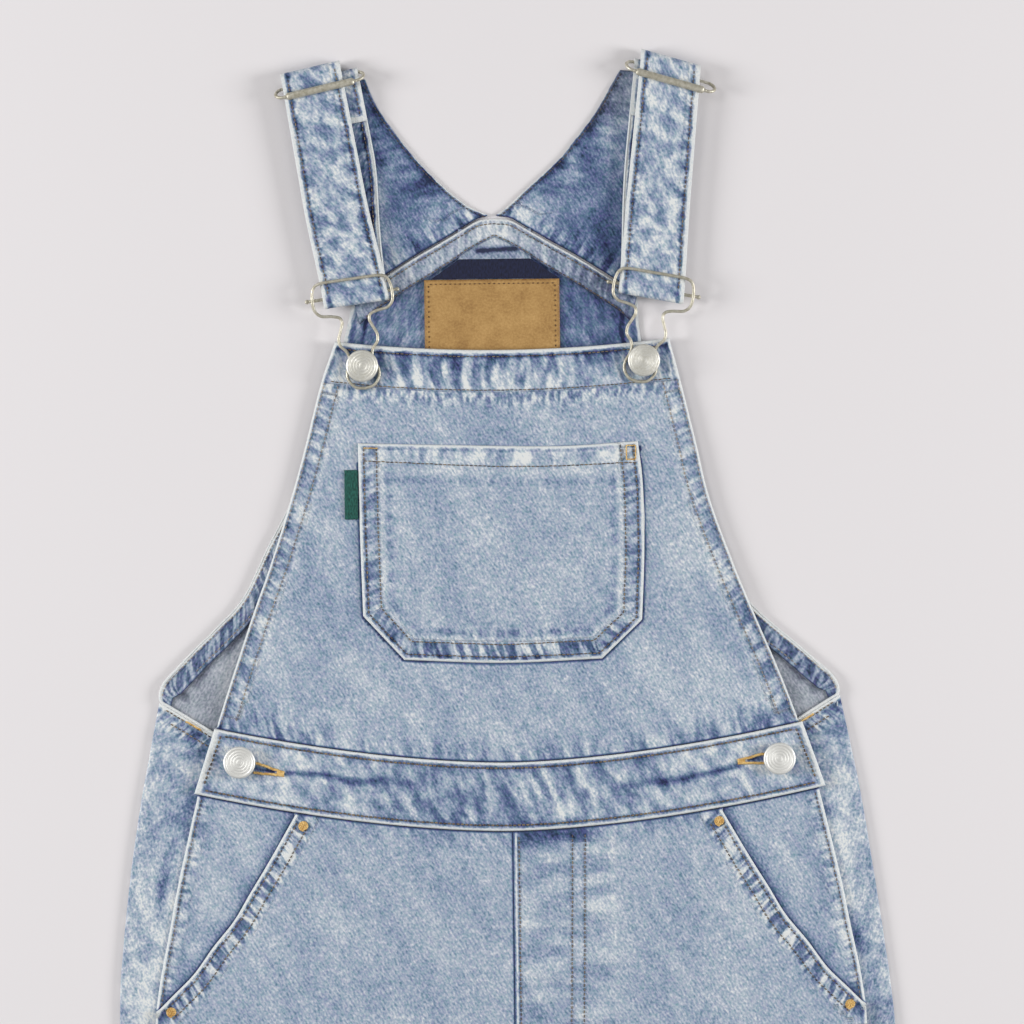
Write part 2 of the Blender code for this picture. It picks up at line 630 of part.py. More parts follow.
def strap(name, strap_row):
    """One strap: a wall of even thickness along its path."""
    length, across, up = strap_axes(strap_row)
    path = strap_path(length)
    s, z = path[:, 0], path[:, 1]
    along = np.concatenate([[0], np.cumsum(np.linalg.norm(np.diff(path, axis=0), axis=1))])
    step = np.gradient(path, axis=0)
    step /= np.linalg.norm(step, axis=1)[:, None]
    normal = np.stack([-step[:, 1], step[:, 0]], axis=1)
    turned_back = along > along[np.argmin(s)]
    drift = strap_row["inward"] * smooth_step(s / (length * 0.6)) * turned_back
    foot_aside, top_aside = strap_row["aside"]
    aside = foot_aside + (top_aside - foot_aside) * smooth_step(s / ASIDE_REACH)
    half = STRAP_HALF_FOOT + (STRAP_HALF_TOP - STRAP_HALF_FOOT) * np.clip(s / length, 0, 1)
    foot_slant, top_slant = slants(strap_row)
    slant = foot_slant * (1 - smooth_step(s / SLANT_REACH))
    slant += top_slant * smooth_step((s - length + SLIDER_DROP + SLANT_REACH) / SLANT_REACH)
    grids = []
    for offset in (-STRAP_WALL / 2, STRAP_WALL / 2):
        place = path + normal * offset
        columns = []
        for share in (-1, 0, 1):
            reach = half * share - drift * strap_row["side"] + aside
            plan = np.outer(reach, across) + np.outer(place[:, 0] + reach * slant, up)
            plan = plan + strap_row["foot"]
            columns.append(np.column_stack([plan, place[:, 1]]))
        grids.append(np.stack(columns, axis=1))
    wall(name, grids[0], grids[1], "denim")


def wire(name, points, radius, material, closed=True):
    """A round wire along points in millimetres."""
    data = bpy.data.curves.new(name, "CURVE")
    data.dimensions = "3D"
    data.bevel_depth = radius * MM
    data.bevel_resolution = 1
    data.use_fill_caps = True
    run = data.splines.new("POLY")
    run.points.add(len(points) - 1)
    for target, point in zip(run.points, np.subtract(points, PLAN_ORIGIN) * MM):
        target.co = (*point, 1)
    run.use_cyclic_u = closed
    data.materials.append(finish(material))
    obj = bpy.data.objects.new(name, data)
    bpy.context.scene.collection.objects.link(obj)
    return obj


def turned_frame(strap_row):
    """The bar's middle in plan, and its unit vectors across and up, turned as the buckle lies."""
    turn = math.radians(strap_row["turn"])
    across = np.array((math.cos(turn), math.sin(turn)))
    return np.array(strap_row["foot"]), across, np.array((-across[1], across[0]))


def buckle(name, strap_row):
    """The bent wire that hooks over the bib's button."""
    half = spline(BUCKLE_WIRE, 2)
    loop = np.vstack([half, (half * (-1, 1, 1))[-2:0:-1]])
    middle, across, up = turned_frame(strap_row)
    plan = middle + np.outer(loop[:, 0], across) + np.outer(loop[:, 1], up)
    wire(name, np.column_stack([plan, loop[:, 2]]), BUCKLE_RADIUS, "nickel")


def buckle_bar(name, strap_row):
    """The bar that the strap turns round, with a ball at each end."""
    steps = np.linspace(0, math.pi, 5)
    ball_x = BAR_HALF - BALL_RADIUS * np.cos(steps)
    ball_radius = np.maximum(BALL_RADIUS * np.sin(steps), 0)
    ball_radius[0] = BAR_RADIUS
    right = list(zip(ball_x, ball_radius))
    left = [(-x, radius) for x, radius in right][::-1]
    middle, across, _ = turned_frame(strap_row)
    turned(name, left + right, middle, BAR_Z, across, 8)


def turned(name, profile, middle, z, across, sides):
    """A solid turned about a level axis through a plan point: distance along the axis, radius."""
    side_way = np.array((-across[1], across[0]))
    angles = 2 * math.pi * np.arange(sides) / sides
    points, rings = [], []
    for x, radius in profile:
        centre = np.array((*(middle + across * x), z))
        if radius < 1e-6:
            rings.append([len(points)] * sides)
            points.append(centre)
            continue
        rings.append(list(range(len(points), len(points) + sides)))
        for angle in angles:
            reach = radius * math.cos(angle)
            points.append(centre + (side_way[0] * reach, side_way[1] * reach, radius * math.sin(angle)))
    add_object(name, points, ring_faces(rings, sides), "nickel")


def ring_faces(rings, sides):
    """Faces between rings of points, with triangles where a ring is a single point."""
    faces = []
    for low, high in zip(rings, rings[1:]):
        for k in range(sides):
            corners = (low[k], low[(k + 1) % sides], high[(k + 1) % sides], high[k])
            faces.append(list(dict.fromkeys(corners)))
    return faces


def slider(name, strap_row):
    """The wire frame at the strap's top: front bar over the strap, back bar beneath its front layer."""
    length, across, up = strap_axes(strap_row)
    half = np.array(SLIDER_WIRE, float)
    loop = np.vstack([half, (half * (-1, 1, 1))[-2:0:-1]])
    share = loop[:, 1]
    s = length - SLIDER_DROP + (SLIDER_DROP - SLIDER_BACK) * share
    z = SLIDER_FRONT_Z + (SLIDER_BACK_Z - SLIDER_FRONT_Z) * share
    inward = -strap_row["side"] * strap_row["inward"] * SLIDER_DRIFT
    reach = loop[:, 0] + inward
    s += reach * slants(strap_row)[1]
    plan = np.array(strap_row["foot"]) + np.outer(s, up) + np.outer(reach, across)
    obj = wire(name, np.column_stack([plan, z]), 1, "nickel")
    for point, radius in zip(obj.data.splines[0].points, loop[:, 2]):
        point.radius = radius


def button(name, place, foot_z):
    """A round button on its shank."""
    angles = 2 * math.pi * np.arange(BUTTON_SIDES) / BUTTON_SIDES
    points, rings = [], []
    for radius, z in BUTTON_PROFILE:
        if radius == 0:
            rings.append([len(points)] * BUTTON_SIDES)
            points.append((*place, foot_z + z))
            continue
        rings.append(list(range(len(points), len(points) + BUTTON_SIDES)))
        for angle in angles:
            reach = (radius * math.cos(angle), radius * math.sin(angle))
            points.append((place[0] + reach[0], place[1] + reach[1], foot_z + z))
    add_object(name, points, ring_faces(rings, BUTTON_SIDES), "nickel")


clear_scene()
for side_name, side in (("left", -1), ("right", 1)):
    back_panel(f"back_{side_name}", side)
    armhole_facing(f"armhole_facing_{side_name}", side)
    wing(f"wing_{side_name}", side)
    front_panel(f"front_{side_name}", side)
    pocket_bearer(f"pocket_bearer_{side_name}", side)
    strap(f"strap_{side_name}", STRAPS[side_name])
    buckle(f"buckle_{side_name}", STRAPS[side_name])
    buckle_bar(f"buckle_bar_{side_name}", STRAPS[side_name])
    slider(f"slider_{side_name}", STRAPS[side_name])
    for row, kind, lift in ((BIB_BUTTONS, "bib", 2 * LAYER), (WAIST_BUTTONS, "waist", 2 * CLOTH)):
        x, y = row[side_name]
        foot_z = float(front_height(np.array(x), np.array(y))) + lift
        button(f"{kind}_button_{side_name}", (x, y), foot_z)
yoke_band()
flat_piece(
    "leather_patch",
    ((PATCH["left"], PATCH["foot"]), (PATCH["right"], PATCH["foot"]),
     (PATCH["right"], PATCH["top"]), (PATCH["left"], PATCH["top"])),
    "leather", LAYER, PATCH_WALL,
)
flat_piece(
    "hanger_tape",
    ((TAPE["middle"] - TAPE["foot_half"], TAPE["foot"]), (TAPE["middle"] + TAPE["foot_half"], TAPE["foot"]),
     (TAPE["middle"] + TAPE["top_half"], TAPE["top"]), (TAPE["middle"] - TAPE["top_half"], TAPE["top"])),
    "navy_tape", LAYER, TAPE_WALL,
)
bib_panel()
bib_top_band()
bib_pocket()
pocket_tab()
waistband()
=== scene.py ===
import math
import bpy
import numpy as np
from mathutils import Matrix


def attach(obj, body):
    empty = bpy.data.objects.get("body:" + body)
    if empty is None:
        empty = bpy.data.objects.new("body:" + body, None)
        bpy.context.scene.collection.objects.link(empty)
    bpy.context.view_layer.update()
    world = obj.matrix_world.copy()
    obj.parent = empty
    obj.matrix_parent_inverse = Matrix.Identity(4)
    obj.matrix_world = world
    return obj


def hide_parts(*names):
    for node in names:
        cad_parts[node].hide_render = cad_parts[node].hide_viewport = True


# Denim dungarees laid flat. Sizes are in millimetres in the garment's own plan: x across, y up from
# the middle of the waist seam, z up from the floor. Meshes are written in metres.

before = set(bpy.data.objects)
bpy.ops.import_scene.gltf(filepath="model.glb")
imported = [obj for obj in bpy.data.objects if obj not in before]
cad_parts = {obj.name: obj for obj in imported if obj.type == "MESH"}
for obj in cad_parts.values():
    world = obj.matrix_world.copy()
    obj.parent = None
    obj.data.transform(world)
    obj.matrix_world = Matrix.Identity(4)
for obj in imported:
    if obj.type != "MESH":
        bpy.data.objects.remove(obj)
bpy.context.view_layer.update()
print("frame loaded:", len(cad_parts), "solids")

cameraLook = {"x": 0.00435, "y": 0.4582, "height": 4.0, "turn": -0.7, "span": 0.635}
planOffset = np.array((0.0, 301.4, 0.0))  # middle of the waist seam, in the frame
mm = 0.001

# Camera straight above the bib, with a long lens.
cameraData = bpy.data.cameras.new("aboveTheBib")
camera = bpy.data.objects.new("aboveTheBib", cameraData)
bpy.context.scene.collection.objects.link(camera)
cameraData.lens = cameraData.sensor_width * cameraLook["height"] / cameraLook["span"]
cameraData.clip_end = 20
camera.location = (cameraLook["x"], cameraLook["y"], cameraLook["height"])
camera.rotation_euler = (0, 0, math.radians(cameraLook["turn"]))
bpy.context.scene.camera = camera
bpy.context.scene.view_settings.view_transform = "Standard"

# Floor and light: a pale surface under an even sky, with soft boxes above both shoulders.
studio = {"floor": (228, 224, 225), "sky": 0.31, "keyPower": 13, "fillPower": 7.8, "sidePower": 53}


def fromScreen(red, green, blue):
    # Screen colour in 0 to 255 to linear light.
    value = np.array((red, green, blue)) / 255
    linear = np.where(value <= 0.04045, value / 12.92, ((value + 0.055) / 1.055) ** 2.4)
    return tuple(float(part) for part in linear)


def areaLight(name, place, size, power, aim=(0, 0.35, 0)):
    # Round soft box, turned from straight down until it faces its aim.
    data = bpy.data.lights.new(name, "AREA")
    data.shape, data.size, data.energy = "DISK", size, power
    light = bpy.data.objects.new(name, data)
    light.location = place
    towards = np.array(aim) - np.array(place)
    tilt = math.atan2(math.hypot(towards[0], towards[1]), -towards[2])
    light.rotation_euler = (tilt, 0, math.atan2(-towards[0], towards[1]))
    bpy.context.scene.collection.objects.link(light)


world = bpy.data.worlds.new("studioSky")
world.use_nodes = True
skyInputs = world.node_tree.nodes["Background"].inputs
skyInputs["Color"].default_value = (0.985, 0.99, 1.0, 1)
skyInputs["Strength"].default_value = studio["sky"]
bpy.context.scene.world = world
areaLight("softBoxAbove", (-1.5, 1.5, 2.6), 1.2, studio["keyPower"])
areaLight("softBoxBelow", (1.6, -0.4, 2.8), 1.8, studio["fillPower"])
areaLight("lowBoxLeft", (-2.6, 0.6, 1.15), 1.1, studio["sidePower"])
areaLight("lowBoxRight", (2.6, 0.5, 1.15), 1.1, studio["sidePower"])


def smoothStep(value):
    # 0 below 0, 1 above 1, an easy rise between.
    value = np.clip(value, 0, 1)
    return value * value * (3 - 2 * value)


def rising(value, start, span):
    # 0 up to the start, 1 once past it by the span, an easy rise between.
    return smoothStep((value - start) / span)


def bell(value, width):
    # 1 at 0, falling on both sides as e to the minus square of value over width.
    return np.exp(-((value / width) ** 2))


def spline(rows, spans=12):
    # Smooth curve through the rows: each span blends its four nearest rows.
    rows = np.asarray(rows, float)
    ends = np.vstack([2 * rows[0] - rows[1], rows, 2 * rows[-1] - rows[-2]])
    t = (np.arange(spans) / spans)[:, None]
    runs = []
    for a, b, c, d in zip(ends, ends[1:], ends[2:], ends[3:]):
        bend = (2 * a - 5 * b + 4 * c - d) * t**2 + (3 * b - a - 3 * c + d) * t**3
        runs.append(0.5 * (2 * b + (c - a) * t + bend))
    return np.vstack([*runs, rows[-1:]])


def lengths(curve):
    # Distance along a curve at each of its points.
    return np.concatenate([[0], np.cumsum(np.linalg.norm(np.diff(curve, axis=0), axis=1))])


def pointsAt(curve, shares):
    # Points of a curve at shares of its length.
    curve = np.asarray(curve, float)
    along = lengths(curve)
    return np.stack([np.interp(np.asarray(shares) * along[-1], along, part) for part in curve.T], axis=-1)


def unit(rows):
    # The same directions, each one long.
    return rows / np.linalg.norm(rows, axis=-1, keepdims=True)


def wayAlong(curve):
    # Direction of a curve at each of its points.
    return unit(np.gradient(curve, axis=0))


def leftOf(way):
    # Plan directions turned a quarter turn to the left.
    return np.stack([-way[..., 1], way[..., 0]], axis=-1)


def atHeight(plan, height):
    # Plan points, all at one height.
    return np.column_stack([plan, np.full(len(plan), height)])


def joined(*curves):
    # Curves end to end, with each shared end taken once.
    return np.concatenate([curves[0], *(curve[1:] for curve in curves[1:])])


def steps(length, step, fineStart=True, fineEnd=True):
    # Shares from 0 to 1 along a length: close together at a sewn edge, then even.
    fine = np.array((0, 0.45, 1.0, 1.6, 2.3, 3.1, 4.0))
    start = fine if fineStart else fine[:1]
    end = (length - fine)[::-1] if fineEnd else np.array((length,))
    count = max(int(round((end[0] - start[-1]) / step)), 1)
    middle = np.linspace(start[-1], end[0], count + 1)[1:-1]
    return np.concatenate([start, middle, end]) / length


def patchPlan(foot, right, top, left, u, v):
    # Plan grid between four edges: straight blends of opposite edges, less the corners' blend.
    foot, top = pointsAt(foot, u), pointsAt(top, u)
    left, right = pointsAt(left, v), pointsAt(right, v)
    return blendEdges(foot, right, top, left, u, v)


def blendEdges(foot, right, top, left, u, v):
    # Across blend of the sides, plus up blend of foot and top, less the four corners' blend.
    u, v = np.asarray(u)[None, :, None], np.asarray(v)[:, None, None]
    across = (1 - u) * left[:, None] + u * right[:, None]
    up = (1 - v) * foot[None] + v * top[None]
    corners = (1 - v) * ((1 - u) * foot[0] + u * foot[-1]) + v * ((1 - u) * top[0] + u * top[-1])
    return across + up - corners


def stackedEdges(*parts):
    # Outer and inner edge from parts one above another, and each row's share of the height. A part is
    # its outer curve, its inner curve, the shares of its rows and how much of the height it takes.
    outer, inner = (joined(*(pointsAt(part[which], part[2]) for part in parts)) for which in (0, 1))
    tops = np.cumsum([part[3] for part in parts])
    shares = [(top - part[3] + part[2] * part[3]) / tops[-1] for top, part in zip(tops, parts)]
    return outer, inner, joined(*shares)


def insetCurve(curve, gap):
    # The same curve moved sideways, to its left, by the gap.
    curve = pointsAt(curve, np.linspace(0, 1, 241))
    return curve + gap * leftOf(wayAlong(curve))


def columnAt(table, y, index=1):
    # One column of a table, read at y between its rows.
    table = np.asarray(table, float)
    return np.interp(y, table[:, 0], table[:, index])


def nearest(x, y, curve):
    # Distance from each plan point to a curve, and how far along the curve the nearest place is.
    curve = np.asarray(curve, float)
    along = lengths(curve)
    best, place = np.full(np.shape(x), 1e9), np.zeros(np.shape(x))
    for a, b, start in zip(curve, curve[1:], along):
        run = b - a
        size = math.hypot(run[0], run[1])
        if size < 1e-9:
            continue
        t = np.clip(((x - a[0]) * run[0] + (y - a[1]) * run[1]) / size**2, 0, 1)
        gap = np.hypot(x - a[0] - t * run[0], y - a[1] - t * run[1])
        closer = gap < best
        best = np.where(closer, gap, best)
        place = np.where(closer, start + t * size, place)
    return best, place


def softNoise(u, v, seed):
    # Random heights on a unit lattice, joined by easy curves, from -1 to 1.
    table = np.random.RandomState(seed).rand(64, 64) * 2 - 1
    u, v = np.asarray(u, float), np.asarray(v, float)
    i, j = np.floor(u).astype(int), np.floor(v).astype(int)
    a, b = smoothStep(u - i), smoothStep(v - j)
    i0, i1, j0, j1 = i % 64, (i + 1) % 64, j % 64, (j + 1) % 64
    low = table[j0, i0] * (1 - a) + table[j0, i1] * a
    high = table[j1, i0] * (1 - a) + table[j1, i1] * a
    return low * (1 - b) + high * b


def leaning(x, y, lean):
    # Plan turned so that one axis leans from upright by so many degrees, its top to the left: across, along.
    angle = math.radians(lean)
    return x * math.cos(angle) + y * math.sin(angle), y * math.cos(angle) - x * math.sin(angle)


def streaks(x, y, lean, long, wide, seed):
    # Noise stretched along a leaning line and pushed towards its extremes.
    across, along = leaning(x, y, lean)
    return np.tanh(1.9 * softNoise(across / wide, along / long, seed))


def withinHem(gap, hem):
    # 1 between an edge's turned rim and its stitch row, 0 outside.
    return rising(gap, hem["from"], 1.5) * (1 - rising(gap, hem["to"], hem["fade"]))


def roping(gap, along, hem):
    # Puckers between an edge and its stitch row: noise in steps along the row, narrow across it.
    wave = softNoise((along + hem["slant"] * gap) / hem["pitch"], gap / 9.0, hem["seed"])
    return withinHem(gap, hem) * np.tanh(2.2 * wave)


def creased(x, y, rows):
    # Sum of soft ridges and troughs: each is a bell across a line, dying out at the line's ends.
    height = np.zeros(np.shape(x))
    for x0, y0, x1, y1, wide, rise in rows:
        run = np.array((x1 - x0, y1 - y0), float)
        size = np.linalg.norm(run)
        t = ((x - x0) * run[0] + (y - y0) * run[1]) / size**2
        side = ((x - x0) * run[1] - (y - y0) * run[0]) / size
        side = side + wide * 0.5 * np.sin(t * 5 + x0)
        height += rise * bell(side, wide) * smoothStep(t * 3.5) * smoothStep((1 - t) * 3.5)
    return height


# Distance in from a turned edge, and the cloth's height there.
rolledProfile = (0, 0.45, 1.0, 1.8, 2.6, 3.4, 5.0, 8.0), (-0.75, -0.2, 0.25, 0.35, 0.05, -0.12, 0.1, 0)


def rolledEdge(gap):
    # Height near a turned and stitched edge: round at the edge, full, then drawn in at the stitches.
    return np.interp(gap, *rolledProfile)


def plainLook(x):
    # Look of bare cloth: no height, tone or ropes, and every edge and seam far away.
    flat = {key: np.zeros(np.shape(x)) for key in ("z", "tone", "grey", "rope", "ropeU", "ropeV")}
    return {**flat, "edge": np.full(np.shape(x), 50.0), "seam": np.full(np.shape(x), 50.0)}


def addRopes(look, strength, u, v):
    # Fine puckers drawn by the cloth's own pattern: where these are the stronger, their run is used.
    stronger = strength > look["rope"]
    for key, value in (("rope", strength), ("ropeU", u), ("ropeV", v)):
        look[key] = np.where(stronger, value, look[key])


def hemRopes(look, gap, along, hem):
    # Puckers square to an edge, between its turned rim and its stitch row.
    u = (along + hem["slant"] * gap) / hem["fine"]
    addRopes(look, hem["strength"] * withinHem(gap, hem), u, gap / 18)


def leaningRopes(look, strength, x, y, lean, wide, long):
    # Puckers along a leaning line.
    across, along = leaning(x, y, lean)
    addRopes(look, strength, across / wide, along / long)


floatSocket, vectorSocket, colourSocket = "NodeSocketFloat", "NodeSocketVector", "NodeSocketColor"


def newGroup(name, inputs, outputs):
    # Node group with its sockets: the tree, what it is given and what it makes.
    tree = bpy.data.node_groups.new(name, "ShaderNodeTree")
    for direction, sockets in (("INPUT", inputs), ("OUTPUT", outputs)):
        for socketName, kind in sockets:
            tree.interface.new_socket(socketName, in_out=direction, socket_type=kind)
    return tree, tree.nodes.new("NodeGroupInput").outputs, tree.nodes.new("NodeGroupOutput").inputs


def setInput(tree, socket, value):
    # Link another node's socket, or set a constant.
    if isinstance(value, bpy.types.NodeSocket):
        tree.links.new(value, socket)
    else:
        socket.default_value = value


def setInputs(tree, node, entries):
    # Named inputs of a node, each linked or set.
    for socketName, entry in entries.items():
        setInput(tree, node.inputs[socketName], entry)


def sums(tree, kind, *values):
    # One Math node on its values.
    node = tree.nodes.new("ShaderNodeMath")
    node.operation = kind
    for socket, value in zip(node.inputs, values):
        setInput(tree, socket, value)
    return node.outputs[0]


def ranged(tree, value, *limits):
    # Easy change from one value to another while the input goes from low to high.
    node = tree.nodes.new("ShaderNodeMapRange")
    node.interpolation_type = "SMOOTHSTEP"
    for socketName, entry in zip(("Value", "From Min", "From Max", "To Min", "To Max"), (value, *limits)):
        setInput(tree, node.inputs[socketName], entry)
    return node.outputs["Result"]


def mappedBy(tree, vector, scale=(1, 1, 1), turn=0.0, shift=(0, 0, 0)):
    # Vector scaled, turned about z by degrees and shifted.
    node = tree.nodes.new("ShaderNodeMapping")
    turned = (0, 0, math.radians(turn))
    setInputs(tree, node, {"Vector": vector, "Scale": scale, "Rotation": turned, "Location": shift})
    return node.outputs["Vector"]


def noiseOf(tree, vector, scale, detail=2.0, rough=0.5):
    # Noise from 0 to 1 over a vector.
    node = tree.nodes.new("ShaderNodeTexNoise")
    setInputs(tree, node, {"Vector": vector, "Scale": scale, "Detail": detail, "Roughness": rough})
    return node.outputs["Fac"]


def rampOf(tree, value, stops):
    # Colour at a value, between stops of a place and a screen colour.
    node = tree.nodes.new("ShaderNodeValToRGB")
    setInput(tree, node.inputs["Fac"], value)
    elements = node.color_ramp.elements
    while len(elements) < len(stops):
        elements.new(0.5)
    for element, (place, colour) in zip(elements, stops):
        element.position = place
        element.color = (*fromScreen(*colour), 1)
    return node.outputs["Color"]


def placeOf(tree):
    # Place in the object's own space.
    return tree.nodes.new("ShaderNodeTexCoord").outputs["Object"]


def uvOf(tree, name):
    # One of the cloth's UV maps.
    node = tree.nodes.new("ShaderNodeUVMap")
    node.uv_map = name
    return node.outputs["UV"]


def attributeOf(tree, name):
    # One of the cloth's painted values.
    node = tree.nodes.new("ShaderNodeAttribute")
    node.attribute_name = name
    return node.outputs["Fac"]


def newMaterial(name, rough):
    # Material with its tree and its Principled shader, at one roughness.
    material = bpy.data.materials.new(name)
    material.use_nodes = True
    shader = material.node_tree.nodes["Principled BSDF"]
    shader.inputs["Roughness"].default_value = rough
    return material, material.node_tree, shader


def bumpInto(tree, shader, height, strength, distance):
    # Bump from a height, at a strength, over a distance in metres.
    bump = tree.nodes.new("ShaderNodeBump")
    setInputs(tree, bump, {"Strength": strength, "Distance": distance, "Height": height})
    tree.links.new(bump.outputs["Normal"], shader.inputs["Normal"])


# Washed denim: fine twill that runs down to the right, slubs, mottle, worn edges with painted shade in the
# channel inside them, and painted shade beside seams. Sizes are in millimetres, across and along the twill.
denimLook = {
    "turn": -32, "linePitch": 2.4, "line": 0.035, "twill": 0.56, "grain": 0.44, "mottle": 0.36,
    "cloud": 0.06, "twillSize": (1.2, 2.7), "mottleSize": (4.2, 5.6), "spotSize": (8, 12.5),
    # The groove is the painted shade in the channel inside a worn rim; the seam reach spans the fall of
    # painted shade beside a seam.
    "grainSize": 1.5, "cloudSize": 38, "edgeFrom": 1.2, "edgeTo": 1.9, "groove": 0.15, "seamShadeReach": (0.3, 1.9), "hue": 0.372,
    "rough": 0.92, "sheen": 0.06,
}
denimStops = ((0.0, (34, 44, 76)), (0.25, (71, 91, 129)), (0.45, (107, 126, 156)), (0.62, (146, 162, 184)),
              (0.73, (168, 180, 194)), (0.87, (197, 205, 213)), (1.0, (225, 227, 225)))


def buildDenimGroup():
    # Level, plus the noises times contrast, plus twill lines, spots, puckers and tone. Then worn edges go
    # pale, with painted shade in the channel inside them, and painted shade darkens the cloth near seams and
    # under the edges of pieces lying above it.
    vectors = [(name, vectorSocket) for name in ("Grain", "Sewn")]
    numbers = ("Tone", "Edge", "Seam", "Level", "Contrast", "Grey", "Rope", "Blotch")
    tree, given, made = newGroup("washedDenim", vectors + [(name, floatSocket) for name in numbers],
                                 (("Colour", colourSocket), ("Height", floatSocket)))

    def number(kind, *values):
        # One Math node of this tree.
        return sums(tree, kind, *values)

    def sized(key, shift=(0, 0)):
        # Place along the twill over a listed size.
        wide, long = denimLook[key]
        return mappedBy(tree, turned, scale=(1 / wide, 1 / long, 1), shift=(*shift, 0))

    def spread(noise):
        # Noise pushed towards both its ends, from -0.5 to 0.5.
        return ranged(tree, noise, 0.36, 0.64, -0.5, 0.5)

    millimetres = mappedBy(tree, given["Grain"], scale=(1000, 1000, 1000))
    turned = mappedBy(tree, millimetres, turn=denimLook["turn"])
    grain = noiseOf(tree, millimetres, 1 / denimLook["grainSize"], 1.0, 0.45)
    mottle = noiseOf(tree, sized("mottleSize", (7, 3)), 1.0)
    noises = {"twill": noiseOf(tree, sized("twillSize"), 1.0, 1.0), "grain": grain, "mottle": mottle,
              "cloud": noiseOf(tree, millimetres, 1 / denimLook["cloudSize"])}
    value = given["Level"]
    for key, noise in noises.items():
        scaled = number("MULTIPLY", number("SUBTRACT", noise, 0.5), denimLook[key])
        value = number("ADD", value, number("MULTIPLY", scaled, given["Contrast"]))
    # Twill lines: a sine across them, pushed about by the slubs.
    split = tree.nodes.new("ShaderNodeSeparateXYZ")
    tree.links.new(turned, split.inputs[0])
    phase = number("MULTIPLY_ADD", split.outputs["X"], 2 * math.pi / denimLook["linePitch"],
                   number("MULTIPLY", mottle, 9.0))
    value = number("MULTIPLY_ADD", number("SINE", phase), denimLook["line"], value)
    spots = spread(noiseOf(tree, sized("spotSize", (3, 9)), 1.0, 2.0, 0.55))
    value = number("ADD", value, number("MULTIPLY", spots, given["Blotch"]))
    roped = number("MULTIPLY", spread(noiseOf(tree, given["Sewn"], 1.0, 1.0, 0.4)), given["Rope"])
    value = number("ADD", number("ADD", value, roped), given["Tone"])
    # Worn rim, and painted shade in the channel just inside it.
    ragged = number("MULTIPLY_ADD", number("SUBTRACT", mottle, 0.5), 1.6, given["Edge"])
    edgeTo = denimLook["edgeTo"]
    worn = ranged(tree, ragged, denimLook["edgeFrom"], edgeTo, 0.96, 0.0)
    grooveShade = ranged(tree, ragged, edgeTo + 0.1, edgeTo + 0.7, 0.0, denimLook["groove"])
    far = ranged(tree, ragged, edgeTo + 1.4, edgeTo + 2.6, 1.0, 0.0)
    value = number("SUBTRACT", value, number("MULTIPLY", grooveShade, far))
    pale = number("MULTIPLY_ADD", number("SUBTRACT", grain, 0.5), 0.25, 0.99)
    value = number("MULTIPLY_ADD", number("SUBTRACT", pale, value), worn, value)
    # Painted shade: darker as the distance to a seam, or to the edge of a piece lying above, falls.
    dark = ranged(tree, given["Seam"], *denimLook["seamShadeReach"], 0.9, 0.0)
    value = number("MULTIPLY_ADD", number("MULTIPLY", value, -1.0), dark, value)
    # Thin places lean to another blue, and the inside of the cloth is greyer.
    hue = tree.nodes.new("ShaderNodeHueSaturation")
    tinted = number("ADD", number("MULTIPLY", mottle, 0.12), number("MULTIPLY", grain, 0.14))
    setInputs(tree, hue, {"Color": rampOf(tree, value, denimStops),
                          "Saturation": number("MULTIPLY_ADD", given["Grey"], -0.6, 1.0),
                          "Hue": number("ADD", tinted, denimLook["hue"])})
    tree.links.new(hue.outputs["Color"], made["Colour"])
    weave = number("MULTIPLY", number("MULTIPLY_ADD", grain, 0.5, noises["twill"]), 0.3)
    tree.links.new(number("MULTIPLY_ADD", roped, 1.5, weave), made["Height"])
    return tree


denimGroup = buildDenimGroup()


def denimMaterial(name, level, contrast, blotch=0.0):
    # Denim at one level of wash, with its contrast and how far it is blotched.
    material, tree, shader = newMaterial(name, denimLook["rough"])
    look = tree.nodes.new("ShaderNodeGroup")
    look.node_tree = denimGroup
    for layerName in ("grain", "sewn"):
        tree.links.new(uvOf(tree, layerName), look.inputs[layerName.title()])
    for source in ("tone", "edge", "seam", "grey", "rope"):
        tree.links.new(attributeOf(tree, source), look.inputs[source.title()])
    setInputs(tree, look, {"Level": level, "Contrast": contrast, "Blotch": blotch})
    tree.links.new(look.outputs["Colour"], shader.inputs["Base Color"])
    setInputs(tree, shader, {"Specular IOR Level": 0.25, "Sheen Weight": denimLook["sheen"],
                             "Sheen Roughness": 0.6})
    bumpInto(tree, shader, look.outputs["Height"], 0.7, 0.001)
    return material


denimFace = denimMaterial("denimFace", 0.7, 1.05, 0.06)
denimWorn = denimMaterial("denimWorn", 0.68, 1.0, 0.24)
denimStrap = denimMaterial("denimStrap", 0.69, 1.0, 0.42)
denimBack = denimMaterial("denimBack", 0.69, 1.15, 0.22)
denimReverse = denimMaterial("denimReverse", 0.58, 0.9)
denimDark = denimMaterial("denimDark", 0.35, 1.05, 0.12)
faceCloth, wornCloth = (denimFace, denimReverse), (denimWorn, denimReverse)  # face, then reverse


def threadMaterial(name, dark, pale):
    # Sewing thread: two colours in soft lengths, finely bumped.
    material, tree, shader = newMaterial(name, 0.7)
    place = placeOf(tree)
    colour = rampOf(tree, noiseOf(tree, place, 260, 2.0, 0.6), ((0.36, dark), (0.64, pale)))
    tree.links.new(colour, shader.inputs["Base Color"])
    bumpInto(tree, shader, noiseOf(tree, place, 4200, 1.0), 0.4, 0.0002)
    return material


oliveThread = threadMaterial("oliveThread", (64, 54, 56), (142, 124, 98))
darkThread = threadMaterial("darkThread", (40, 40, 52), (96, 84, 72))
paleThread = threadMaterial("paleThread", (112, 104, 108), (172, 158, 140))
brownThread = threadMaterial("brownThread", (82, 58, 38), (124, 92, 58))
mustardThread = threadMaterial("mustardThread", (196, 152, 82), (236, 200, 130))


